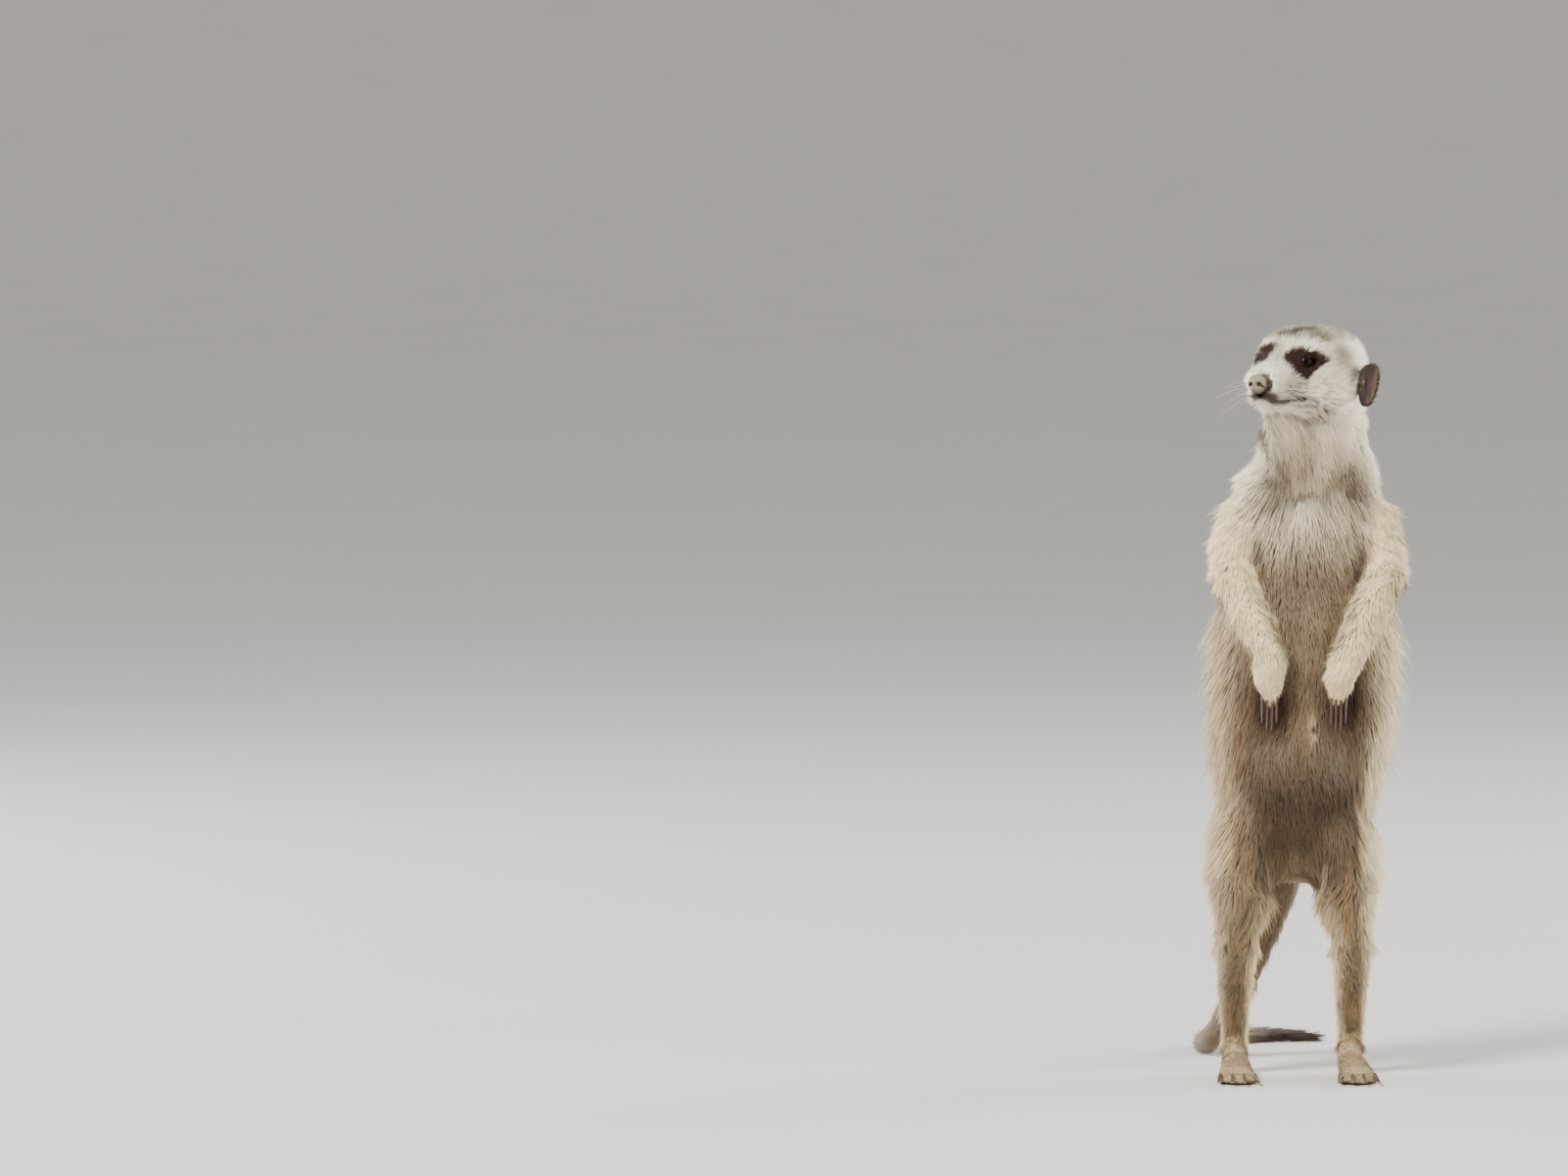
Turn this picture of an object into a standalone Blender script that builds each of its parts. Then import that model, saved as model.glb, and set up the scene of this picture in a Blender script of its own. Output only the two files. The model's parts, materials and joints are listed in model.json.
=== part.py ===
"""A life-size meerkat standing upright, as a still museum model.

The animal faces -Y and its left side is +X. Its head is turned towards its right. The body is modelled
whole, out to the tips of the coat, and parted with thin cuts into the parts that a person would name.
The frame's origin is on the floor, in the middle of the model's footprint.
"""

import math
from collections import namedtuple

import bmesh
import bpy
import numpy as np
from mathutils import Matrix, Vector

# Driving dimensions, in metres.
STANDING_HEIGHT = 0.330  # floor to crown
BODY_WIDTH = 0.086  # across the flanks, with the coat
BODY_DEPTH = 0.068  # belly to back
HEAD_LENGTH = 0.074  # nose to nape
HEAD_WIDTH = 0.047  # across the cheeks
EAR_HEIGHT = 0.019
EAR_WIDTH = 0.0125
EYE_RADIUS = 0.0050
ARM_RADIUS = 0.0100  # at the elbow
SHANK_RADIUS = 0.0085  # halfway down the lower leg
FOOT_LENGTH = 0.060  # heel to toe tips
TAIL_RADIUS = 0.0078  # a third of the way down
FORE_CLAW = 0.0135
HIND_CLAW = 0.0085
CLAW_RADIUS = 0.00110  # at the root
CLAW_CURL = 0.22  # how far the point bends away, as a share of the length

# The pose.
HEAD_TURN = math.radians(33.5)  # to the animal's right
HEAD_LIFT = math.radians(1)
HIP_SHIFT = -0.0055  # the feet stand this far to the animal's right of the chest
STANCE = 0.0255  # from the middle to each foot
WRIST_DRIFT = -0.0008  # the forearms hang this far to the animal's right, and the paws further
PAW_DRIFT = -0.0032

# How the parts meet, and how finely they are faceted.
GAP = 0.00035  # between parts that touch
FINE = 0.0012  # cell of the remesh that joins the forms
SOLE_SINK = 0.0007  # how much of a foot or of the tail the floor flattens
BODY_TRIANGLES = 3450
ARM_TRIANGLES = 400
MOST_CRUMB = 12  # points in a crumb that a cut may leave, which is thrown away

UP = Vector((0, 0, 1))
SIDES = {"left": 1, "right": -1}
Section = namedtuple("Section", "place wide deep")


# ---------------------------------------------------------------- materials


def material(name, colour, roughness):
    """A plain Principled material with that colour, for every part that shares the name."""
    made = bpy.data.materials.get(name) or bpy.data.materials.new(name)
    made.use_nodes = True
    shader = made.node_tree.nodes["Principled BSDF"]
    shader.inputs["Base Color"].default_value = (*colour, 1)
    shader.inputs["Roughness"].default_value = roughness
    shader.inputs["Metallic"].default_value = 0
    return made


def materials():
    return {
        "face_fur": material("face_fur", (0.62, 0.58, 0.51), 0.85),
        "pale_fur": material("pale_fur", (0.60, 0.54, 0.43), 0.85),
        "body_fur": material("body_fur", (0.36, 0.27, 0.17), 0.85),
        "leg_fur": material("leg_fur", (0.42, 0.33, 0.22), 0.85),
        "tail_fur": material("tail_fur", (0.33, 0.22, 0.12), 0.85),
        "ear_skin": material("ear_skin", (0.06, 0.04, 0.03), 0.75),
        "eye": material("eye", (0.03, 0.015, 0.008), 0.1),
        "nose_leather": material("nose_leather", (0.16, 0.10, 0.06), 0.5),
        "claw_horn": material("claw_horn", (0.05, 0.035, 0.03), 0.4),
    }


# ---------------------------------------------------------------- shapes


def curve_through(rows, count):
    """Rows of numbers read at even steps along the Catmull-Rom curve through the given rows."""
    rows = np.asarray(rows, float)
    padded = np.vstack([2 * rows[0] - rows[1], rows, 2 * rows[-1] - rows[-2]])
    step = np.linspace(0, len(rows) - 1, count)
    first = np.minimum(step.astype(int), len(rows) - 2)
    t = (step - first)[:, None]
    a, b, c, d = (padded[first + k] for k in range(4))
    return 0.5 * (2 * b + (c - a) * t + (2 * a - 5 * b + 4 * c - d) * t**2 + (3 * b - a - 3 * c + d) * t**3)


def skin_over(name, rings):
    """One closed mesh over a row of rings of equally many points, with a pole at each end."""
    bm = bmesh.new()
    loops = [[bm.verts.new(point) for point in ring] for ring in rings]
    for near, far in zip(loops, loops[1:]):
        for k in range(len(near)):
            after = (k + 1) % len(near)
            bm.faces.new((near[k], near[after], far[after], far[k]))
    bm.faces.new(reversed(loops[0]))
    bm.faces.new(loops[-1])
    bmesh.ops.recalc_face_normals(bm, faces=bm.faces)
    return new_object(name, bm)


def new_object(name, bm):
    mesh = bpy.data.meshes.new(name)
    bm.to_mesh(mesh)
    bm.free()
    made = bpy.data.objects.new(name, mesh)
    bpy.context.scene.collection.objects.link(made)
    return made


def tube(name, sections, steps=24, sides=24):
    """A limb: elliptic rings square to a smooth path through the sections, with rounded ends."""
    rows = curve_through([(*s.place, s.wide, s.deep) for s in sections], steps)
    places, sizes = rows[:, :3], np.maximum(rows[:, 3:], 0.0004)
    tangents = np.gradient(places, axis=0)
    tangents /= np.linalg.norm(tangents, axis=1)[:, None]
    across = Vector((1, 0, 0))
    angles = np.linspace(0, 2 * math.pi, sides, endpoint=False)
    rings = []

    def ring(centre, direction, wide, deep):
        front = direction.cross(across).normalized()
        return [
            centre + across * (wide * math.cos(a)) + front * (deep * math.sin(a)) for a in angles
        ]

    def rounded(centre, direction, sign, wide, deep):
        """The rings of a rounded end, from the widest one out to the pole."""
        reach = 0.8 * min(wide, deep)
        for a in np.radians((25, 50, 72, 86)):
            out = centre + direction * (sign * reach * math.sin(a))
            yield ring(out, direction, wide * math.cos(a), deep * math.cos(a))

    for k in range(steps):
        centre, direction = Vector(places[k]), Vector(tangents[k])
        across = (across - direction * across.dot(direction)).normalized()
        if k == 0:
            rings += reversed(list(rounded(centre, direction, -1, *sizes[k])))
        rings.append(ring(centre, direction, *sizes[k]))
        if k == steps - 1:
            rings += rounded(centre, direction, 1, *sizes[k])
    return skin_over(name, rings)


def ellipsoid(name, centre, axes, radii, segments=20, rings=12):
    """A ball squeezed to three radii along three given directions."""
    bm = bmesh.new()
    bmesh.ops.create_uvsphere(bm, u_segments=segments, v_segments=rings, radius=1)
    turn = Matrix([axes[k] * radii[k] for k in range(3)]).transposed().to_4x4()
    bmesh.ops.transform(bm, matrix=Matrix.Translation(centre) @ turn, verts=bm.verts)
    bmesh.ops.recalc_face_normals(bm, faces=bm.faces)
    return new_object(name, bm)


# ---------------------------------------------------------------- joining, cutting and parting


def modifier(obj, kind, **settings):
    made = obj.modifiers.new(kind.title(), kind)
    for key, value in settings.items():
        setattr(made, key, value)
    return made


def settle(obj):
    """Applies the object's modifiers."""
    graph = bpy.context.evaluated_depsgraph_get()
    finished = bpy.data.meshes.new_from_object(obj.evaluated_get(graph))
    obj.modifiers.clear()
    obj.data = finished
    return obj


def drop(*objects):
    for obj in objects:
        bpy.data.objects.remove(obj)


def fused(name, forms, smoothing, triangles):
    """The forms joined into one skin: remeshed, smoothed where they run together, then thinned out."""
    bm = bmesh.new()
    for form in forms:
        bm.from_mesh(form.data)
    whole = new_object(name, bm)
    drop(*forms)
    modifier(whole, "REMESH", mode="VOXEL", voxel_size=FINE)
    modifier(whole, "SMOOTH", factor=0.5, iterations=smoothing)
    settle(whole)
    modifier(whole, "TRIANGULATE")
    settle(whole)
    modifier(whole, "DECIMATE", ratio=triangles / len(whole.data.polygons))
    return settle(whole)


def grown(obj, by=GAP):
    """A copy of a solid, larger all over, that cuts a seat for it in a neighbour."""
    copy = obj.copy()
    copy.data = obj.data.copy()
    bpy.context.scene.collection.objects.link(copy)
    modifier(copy, "DISPLACE", mid_level=0, strength=by)
    return settle(copy)


def carve(obj, cutter):
    """Takes the cutter's shape out of obj and removes the cutter."""
    modifier(obj, "BOOLEAN", operation="DIFFERENCE", solver="EXACT", object=cutter)
    settle(obj)
    drop(cutter)
    return obj


def slab(place, normal, reach, thickness=GAP):
    """A thin square plate, the blade of one cut."""
    bm = bmesh.new()
    bmesh.ops.create_cube(bm, size=1)
    size = Matrix.Diagonal((2 * reach, 2 * reach, thickness, 1))
    turn = Vector(normal).to_track_quat("Z", "Y").to_matrix().to_4x4()
    bmesh.ops.transform(bm, matrix=Matrix.Translation(place) @ turn @ size, verts=bm.verts)
    return new_object("blade", bm)


def islands(bm):
    """The connected pieces of a mesh, as sets of vertices."""
    left = set(bm.verts)
    while left:
        found, edge = set(), {left.pop()}
        while edge:
            found |= edge
            edge = {e.other_vert(v) for v in edge for e in v.link_edges} - found
        left -= found
        yield found


def parted(whole, cuts, names):
    """Parts a body with thin cuts. Each name goes to the piece nearest to the point given for it."""
    for place, normal, reach in cuts:
        carve(whole, slab(place, normal, reach))
    bm = bmesh.new()
    bm.from_mesh(whole.data)
    bm.verts.index_update()
    drop(whole)
    pieces = [piece for piece in islands(bm) if len(piece) > MOST_CRUMB]
    parts = {}
    for name, point in names.items():
        place = Vector(point)
        nearest = min(pieces, key=lambda piece: min((v.co - place).length for v in piece))
        pieces.remove(nearest)
        kept = {v.index for v in nearest}
        copy = bm.copy()
        others = [v for v in copy.verts if v.index not in kept]
        bmesh.ops.delete(copy, geom=others, context="VERTS")
        parts[name] = new_object(name, copy)
    bm.free()
    if pieces:
        raise ValueError(f"the cuts leave {len(pieces)} pieces without a name")
    return parts


def flattened(obj):
    """Cuts off what reaches under the floor and closes the flat sole that this leaves."""
    bm = bmesh.new()
    bm.from_mesh(obj.data)
    geometry = bm.verts[:] + bm.edges[:] + bm.faces[:]
    cut = bmesh.ops.bisect_plane(
        bm, geom=geometry, plane_co=(0, 0, 0), plane_no=(0, 0, -1), clear_outer=True
    )
    rim = [e for e in cut["geom_cut"] if isinstance(e, bmesh.types.BMEdge)]
    bmesh.ops.holes_fill(bm, edges=rim)
    bmesh.ops.triangulate(bm, faces=bm.faces)
    bm.to_mesh(obj.data)
    bm.free()
    return obj


# ---------------------------------------------------------------- the head's own frame

EAR_LEVEL = 0.925 * STANDING_HEIGHT  # height of the middle of the ears
HEAD_CENTRE = Vector((0.0035, -0.001, EAR_LEVEL))  # between the ears
_flat = Vector((-math.sin(HEAD_TURN), -math.cos(HEAD_TURN), 0))
HEAD_FORWARD = _flat * math.cos(HEAD_LIFT) + UP * math.sin(HEAD_LIFT)
HEAD_LEFT = Vector((math.cos(HEAD_TURN), -math.sin(HEAD_TURN), 0))
HEAD_UP = HEAD_LEFT.cross(HEAD_FORWARD).normalized() * -1


def head_point(forward, left, up):
    """A place in the head, in metres ahead of, left of and above the middle between the ears."""
    return HEAD_CENTRE + HEAD_FORWARD * forward + HEAD_LEFT * left + HEAD_UP * up


NOSE_REACH = 0.0520  # nose tip ahead of the ears
EYE_AHEAD = 0.0267  # the front of the eye
EYE_APART = 0.0113  # from the middle to each eye
EYE_HIGH = 0.0095
EAR_APART = 0.0260


# ---------------------------------------------------------------- the animal's forms


def trunk_form():
    """Trunk and neck in one form: a full belly, flanks under the arms, sloping shoulders, a thick neck."""
    width, depth = 0.5 * BODY_WIDTH, 0.5 * BODY_DEPTH
    rows = (  # height as a share of the whole, side shift, back shift, then shares of the half sizes
        (0.308, 1.00, 0.0085, 0.60, 0.66),
        (0.352, 0.85, 0.0080, 0.81, 0.91),
        (0.430, 0.60, 0.0040, 0.92, 1.03),
        (0.510, 0.35, 0.0000, 0.97, 1.01),
        (0.590, 0.15, 0.0000, 0.97, 0.95),
        (0.655, 0.05, 0.0025, 0.93, 0.90),
        (0.715, 0.00, 0.0050, 0.89, 0.87),
        (0.752, -0.15, 0.0065, 0.86, 0.82),
        (0.780, -0.40, 0.0072, 0.80, 0.765),
        (0.802, -0.62, 0.0070, 0.710, 0.715),
        (0.826, -0.75, 0.0052, 0.615, 0.680),
        (0.858, -0.78, 0.0028, 0.540, 0.660),
        (0.890, -0.70, 0.0005, 0.515, 0.640),
        (0.918, -0.60, -0.0005, 0.50, 0.61),
    )
    sections = [
        Section((shift * HIP_SHIFT, back, share * STANDING_HEIGHT), wide * width, deep * depth)
        for share, shift, back, wide, deep in rows
    ]
    return tube("trunk_form", sections, steps=48, sides=40)


def head_form():
    """Skull, cheeks and muzzle: rings square to the head's axis, each with its own crown and jaw line."""
    rows = (  # share of the length from nape to nose, half width, crown and jaw as shares of the width
        (0.00, 0.16, 0.26, 0.00),
        (0.03, 0.26, 0.35, -0.12),
        (0.10, 0.39, 0.440, -0.24),
        (0.20, 0.475, 0.505, -0.315),
        (0.32, 0.510, 0.528, -0.345),
        (0.43, 0.505, 0.525, -0.335),
        (0.53, 0.470, 0.495, -0.305),
        (0.62, 0.390, 0.430, -0.280),
        (0.70, 0.288, 0.315, -0.262),
        (0.78, 0.232, 0.225, -0.250),
        (0.86, 0.200, 0.165, -0.232),
        (0.93, 0.158, 0.115, -0.204),
        (0.975, 0.105, 0.070, -0.150),
        (1.00, 0.045, 0.050, -0.030),
    )
    angles = np.linspace(0, 2 * math.pi, 40, endpoint=False)
    rings = []
    for share, wide, crown, jaw in curve_through(rows, 44):
        middle = 0.5 * (crown + jaw)
        high = 0.5 * (crown - jaw)
        forward = NOSE_REACH - (1 - share) * HEAD_LENGTH
        narrow_jaw = 0.45 * min(max((share - 0.60) / 0.25, 0), 1)
        rings.append(
            [
                head_point(
                    forward,
                    HEAD_WIDTH * wide * full(math.cos(a)) * (1 + narrow_jaw * (math.sin(a) - 0.2)),
                    HEAD_WIDTH * (middle + high * full(math.sin(a))),
                )
                for a in angles
            ]
        )
    return skin_over("head_form", rings)


def full(wave):
    """A sine or cosine made fuller, which turns an ellipse into a rounder box."""
    return math.copysign(abs(wave) ** 0.86, wave)


def face_forms():
    """A low ridge over each eye, a full cheek, the pad of whiskers by the nose, and the throat."""
    for side in SIDES.values():
        axes = (HEAD_FORWARD, HEAD_LEFT, HEAD_UP)
        brow = head_point(EYE_AHEAD - 0.0055, side * 0.0100, EYE_HIGH + 0.0040)
        cheek = head_point(0.0125, side * 0.0150, -0.0045)
        pad = head_point(NOSE_REACH - 0.0105, side * 0.0052, 0.0018)
        yield ellipsoid("brow_form", brow, axes, (0.0085, 0.0068, 0.0044))
        yield ellipsoid("cheek_form", cheek, axes, (0.0160, 0.0085, 0.0088))
        yield ellipsoid("pad_form", pad, axes, (0.0075, 0.0048, 0.0052))
    yield tube(
        "throat_form",
        [
            Section(head_point(0.0400, 0, -0.0055), 0.0050, 0.0045),
            Section(head_point(0.0310, 0, -0.0105), 0.0090, 0.0075),
            Section(head_point(0.0195, 0, -0.0220), 0.0120, 0.0100),
            Section(head_point(0.0110, 0, -0.0400), 0.0140, 0.0110),
        ],
    )


def leg_forms(side):
    """Thigh, shank and foot of one side, with four toes."""
    x = HIP_SHIFT + side * STANCE
    shank = SHANK_RADIUS
    limb = [
        Section((HIP_SHIFT * 0.9 + side * 0.0165, 0.0070, 0.1300), 0.0190, 0.0250),
        Section((x - side * 0.0058, 0.0025, 0.1040), 0.0183, 0.0275),
        Section((x - side * 0.0030, -0.0030, 0.0810), 0.0149, 0.0225),
        Section((x - side * 0.0006, -0.0040, 0.0610), 1.18 * shank, 0.0155),
        Section((x, 0.0030, 0.0400), shank, 0.0105),
        Section((x, 0.0095, 0.0220), 0.80 * shank, 0.0082),
        Section((x, 0.0125, 0.0110), 0.78 * shank, 0.0066),
    ]
    foot = [
        Section((x, HEEL - 0.0035, 0), 0.0058, 0.0062),
        Section((x, 0.0020, 0), 0.0062, 0.0066),
        Section((x + side * 0.5 * TOE_OUT, -0.0140, 0), 0.0074, 0.0056),
        Section((x + side * TOE_OUT, TOE_ROOT - 0.001, 0), 0.0083, 0.0047),
    ]
    yield tube("leg_form", limb, steps=36, sides=28)
    yield tube("foot_form", [lowered(s) for s in foot], steps=16)
    for root, tip in toe_lines(side):
        toe = [
            Section(root, 0.0026, 0.0031),
            Section(root.lerp(tip, 0.5), 0.0024, 0.0034),
            Section(tip + Vector((0, 0.0020, 0)), 0.0023, 0.0030),
        ]
        yield tube("toe_form", [lowered(s) for s in toe], steps=8, sides=16)


TOE_PITCH = 0.0046  # between neighbouring toes
TOE_OUT = 0.0008  # the toes stand this far outside the heel
TOE_ROOT = -0.0270
HEEL = 0.0160  # its back


def lowered(section):
    """A section of the foot at the height where the floor flattens its sole."""
    x, y, _ = section.place
    return section._replace(place=(x, y, section.deep - SOLE_SINK))


def toe_lines(side):
    """Root and tip of each of the four toes of a hind foot. The middle two reach furthest."""
    x = HIP_SHIFT + side * (STANCE + TOE_OUT)
    for k in range(4):
        spread = k - 1.5
        short = 0.0016 * abs(spread) ** 1.5 + (0.0012 if k == 3 else 0)
        root = Vector((x + side * spread * TOE_PITCH * 0.86, TOE_ROOT, 0))
        yield root, Vector((x + side * spread * TOE_PITCH * 1.08, HEEL - FOOT_LENGTH + short, 0))


def tail_form():
    """The tail: down behind the feet as a prop, then along the floor in a loose curve to its dark tip."""
    r = TAIL_RADIUS
    rows = (
        ((-0.0040, 0.0250, 0.1080), 1.80),
        ((-0.0055, 0.0375, 0.0960), 1.42),
        ((-0.0095, 0.0480, 0.0790), 1.16),
        ((-0.0160, 0.0570, 0.0580), 1.00),
        ((-0.0240, 0.0660, 0.0370), 0.90),
        ((-0.0320, 0.0770, 0.0180), 0.82),
        ((-0.0385, 0.0920, 0.0075), 0.76),
        ((-0.0400, 0.1120, 0.0000), 0.70),
        ((-0.0345, 0.1320, 0.0000), 0.64),
        ((-0.0215, 0.1480, 0.0000), 0.57),
        ((-0.0050, 0.1560, 0.0000), 0.48),
        ((0.0110, 0.1570, 0.0000), 0.34),
    )
    sections = []
    for (x, y, z), share in rows:
        lying = share * r - SOLE_SINK
        sections.append(Section((x, y, max(z, lying)), share * r, share * r))
    return tube("tail_form", sections, steps=64, sides=20)


def arm_line(side):
    """Shoulder, elbow, wrist and knuckles of one arm. It hangs in front of the belly."""
    return (
        Vector((side * 0.0255, 0.0035, 0.2480)),
        Vector((side * 0.0330, -0.0125, 0.2240)),
        Vector((WRIST_DRIFT + side * 0.0179, -0.0385, 0.1895)),
        Vector((PAW_DRIFT + side * 0.0150, -0.0405, 0.1775)),
    )


def arm_forms(side):
    """Upper arm, forearm and paw of one side, with four fingers that hang down."""
    shoulder, elbow, wrist, knuckles = arm_line(side)
    r = ARM_RADIUS
    limb = [
        Section(shoulder, 1.15 * r, 1.50 * r),
        Section(shoulder.lerp(elbow, 0.5) + Vector((side * 0.0012, 0.0006, 0)), 1.10 * r, 1.32 * r),
        Section(elbow, 0.98 * r, 1.05 * r),
        Section(elbow.lerp(wrist, 0.45) + Vector((side * 0.0012, -0.0008, 0)), 0.86 * r, 0.88 * r),
        Section(wrist, 0.73 * r, 0.68 * r),
        Section(knuckles, 0.72 * r, 0.52 * r),
    ]
    yield tube("arm_form", limb, steps=32)
    for root, tip in finger_lines(side):
        middle = root.lerp(tip, 0.5) + Vector((0, -0.0006, 0))
        finger = [Section(root, 0.0024, 0.0028), Section(middle, 0.0022, 0.0026), Section(tip, 0.0019, 0.0022)]
        yield tube("finger_form", finger, steps=8, sides=16)


def finger_lines(side):
    """Root and tip of each of the four fingers of a forepaw, closing towards their tips."""
    knuckles = arm_line(side)[3]
    for k in range(4):
        spread = k - 1.5
        short = 0.0019 * abs(spread) ** 1.5
        root = knuckles + Vector((side * spread * 0.0031, 0, 0.0012))
        yield root, knuckles + Vector((side * spread * 0.0021, 0.0004, -0.0096 + short))


# ---------------------------------------------------------------- the parts


def body_parts():
    """Head, neck, trunk, legs and tail, from one fused form."""
    forms = [trunk_form(), head_form(), *face_forms(), tail_form()]
    for side in SIDES.values():
        forms += leg_forms(side)
    body = fused("body", forms, smoothing=7, triangles=BODY_TRIANGLES)
    flattened(body)
    seat = grown(body)
    cuts = [
        (head_point(0.005, 0, -0.0165), HEAD_UP - HEAD_FORWARD * 0.13, 0.060),
        ((0.002, 0.004, 0.800 * STANDING_HEIGHT), (0, -0.10, 1), 0.050),
        ((-0.0062, 0.0395, 0.0935), (-0.22, 0.60, -0.77), 0.020),
        ((-0.0240, 0.0660, 0.0370), (-0.33, 0.42, -0.85), 0.014),
        ((-0.0345, 0.1320, 0.0050), (0.48, 0.88, 0), 0.012),
    ]
    names = {
        "head": head_point(0.006, 0, 0.0245),
        "neck": (0.003, -0.020, 0.853 * STANDING_HEIGHT),
        "trunk": (0, 0.036, 0.55 * STANDING_HEIGHT),
        "tail_base": (-0.0160, 0.0640, 0.0580),
        "tail_middle": (-0.0400, 0.1120, 0.0100),
        "tail_tip": (0.0110, 0.1570, 0.0030),
    }
    for word, side in SIDES.items():
        x = HIP_SHIFT + side * STANCE
        cuts += [
            ((HIP_SHIFT + side * 0.0230, -0.001, 0.0905), (-side * 0.42, 0.10, 1), 0.0262),
            ((x, 0.000, 0.0590), (0, 0.25, 1), 0.0245),
            ((x, 0.010, 0.0150), (0, 0.55, 1), 0.0180),
        ]
        names["thigh_" + word] = (x + side * 0.016, -0.004, 0.080)
        names["shank_" + word] = (x + side * 0.008, 0.003, 0.040)
        names["hind_foot_" + word] = (x, -0.020, 0.009)
    return parted(body, cuts, names), seat


def arm_parts(side, word, trunk_seat):
    """Upper arm, forearm and forepaw of one side, fitted against the trunk."""
    arm = fused("arm", list(arm_forms(side)), smoothing=5, triangles=ARM_TRIANGLES)
    seat = trunk_seat.copy()
    seat.data = trunk_seat.data.copy()
    bpy.context.scene.collection.objects.link(seat)
    carve(arm, seat)
    shoulder, elbow, wrist, knuckles = arm_line(side)
    bend = (wrist - shoulder).normalized()
    cuts = [
        (elbow, bend, 0.024),
        (wrist + (knuckles - wrist) * 0.15, wrist - elbow, 0.0125),
    ]
    names = {
        "upper_arm_" + word: shoulder.lerp(elbow, 0.6) + Vector((side * 0.010, 0, 0)),
        "forearm_" + word: elbow.lerp(wrist, 0.5) + Vector((0, -0.008, 0)),
        "forepaw_" + word: knuckles + Vector((0, -0.005, 0)),
    }
    return parted(arm, cuts, names)


def eye_part(side, word, head):
    """One eyeball, and its socket in the head with an almond opening in front."""
    centre = head_point(EYE_AHEAD, side * EYE_APART, EYE_HIGH)
    gaze = (HEAD_FORWARD * 0.74 + HEAD_LEFT * (side * 0.67)).normalized()
    axes = (gaze, gaze.cross(HEAD_UP).normalized(), HEAD_UP)
    eye = ellipsoid("eye_" + word, centre - gaze * EYE_RADIUS, axes, (EYE_RADIUS,) * 3, 12, 8)
    carve(head, grown(eye))
    opening = ellipsoid("opening", centre + gaze * 0.0016, axes, (0.0034, 0.0047, 0.0032), 10, 6)
    carve(head, opening)
    return eye


def ear_part(side, word, head):
    """One small rounded ear, cupped towards the front and set low on the side of the head."""
    centre = head_point(0, side * EAR_APART, -0.0005)
    facing = (HEAD_LEFT * (side * 0.80) + HEAD_FORWARD * 0.60).normalized()
    upright = (HEAD_UP * 0.97 - HEAD_FORWARD * 0.16 + HEAD_LEFT * (side * 0.10)).normalized()
    across = upright.cross(facing).normalized()
    upright = facing.cross(across).normalized()
    radii = (0.0034, 0.5 * EAR_WIDTH, 0.5 * EAR_HEIGHT)
    ear = ellipsoid("ear_" + word, centre, (facing, across, upright), radii, 14, 8)
    cup = ellipsoid(
        "cup",
        centre + facing * 0.0034,
        (facing, across, upright),
        (0.0026, 0.36 * EAR_WIDTH, 0.38 * EAR_HEIGHT),
        10,
        5,
    )
    carve(ear, cup)
    carve(ear, grown(head))
    return ear


def nose_part(head):
    """The nose leather at the end of the muzzle."""
    centre = head_point(NOSE_REACH - 0.0030, 0, 0.0002)
    nose = ellipsoid(
        "nose", centre, (HEAD_FORWARD, HEAD_LEFT, HEAD_UP), (0.0040, 0.0048, 0.0042), 12, 7
    )
    carve(head, grown(nose))
    return nose


def claw(name, root, direction, curl, length):
    """A slim horn that bends towards curl and ends in a point."""
    across = direction.cross(curl).normalized()
    angles = np.linspace(0, 2 * math.pi, 6, endpoint=False)
    rings = []
    for t in np.linspace(0, 1, 4):
        centre = root + direction * (length * t) + curl * (CLAW_CURL * length * t * t)
        deep = CLAW_RADIUS * (1 - 0.86 * t)
        wide = 0.72 * deep
        rings.append(
            [centre + across * (wide * math.cos(a)) + curl * (deep * math.sin(a)) for a in angles]
        )
    return skin_over(name, rings)


def claw_parts(side, word, parts):
    """The four claws of each foot of one side, seated on the tips of its fingers and toes."""
    down, back = Vector((0, 0.10, -1)).normalized(), Vector((0, 1, 0))
    for k, (_, tip) in enumerate(finger_lines(side), start=1):
        start = tip + Vector((0, -0.0004, 0.0006))
        horn = claw(f"fore_claw_{word}_{k}", start, down, back, FORE_CLAW)
        parts[horn.name] = carve(horn, grown(parts["forepaw_" + word]))
    under = Vector((0, 0, -1))
    for k, (_, tip) in enumerate(toe_lines(side), start=1):
        start = Vector((tip.x, tip.y + 0.0012, 0.0038))
        ahead = Vector((0.12 * side * (k - 2.5), -1, 0)).normalized()
        horn = claw(f"hind_claw_{word}_{k}", start, ahead, under, HIND_CLAW)
        parts[horn.name] = carve(horn, grown(parts["hind_foot_" + word]))


FINISHES = {
    "head": "face_fur",
    "neck": "face_fur",
    "trunk": "body_fur",
    "upper": "pale_fur",
    "forearm": "pale_fur",
    "forepaw": "pale_fur",
    "thigh": "leg_fur",
    "shank": "leg_fur",
    "hind": "leg_fur",
    "tail": "tail_fur",
    "ear": "ear_skin",
    "eye": "eye",
    "nose": "nose_leather",
}


def finish(parts):
    """Gives each part its material and smooth shading."""
    table = materials()
    for name, part in parts.items():
        slot = "claw_horn" if "claw" in name else FINISHES[name.split("_")[0]]
        part.data.materials.clear()
        part.data.materials.append(table[slot])
        part.data.shade_smooth()
        part.data.set_sharp_from_angle(angle=math.radians(40))


def stand_on_origin(parts):
    """Moves the model so that the middle of its footprint is the origin. The soles stay on the floor."""
    corners = np.array([v.co for part in parts.values() for v in part.data.vertices])
    low, high = corners.min(axis=0), corners.max(axis=0)
    shift = Matrix.Translation((-0.5 * (low[0] + high[0]), -0.5 * (low[1] + high[1]), 0))
    for part in parts.values():
        part.data.transform(shift)


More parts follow.
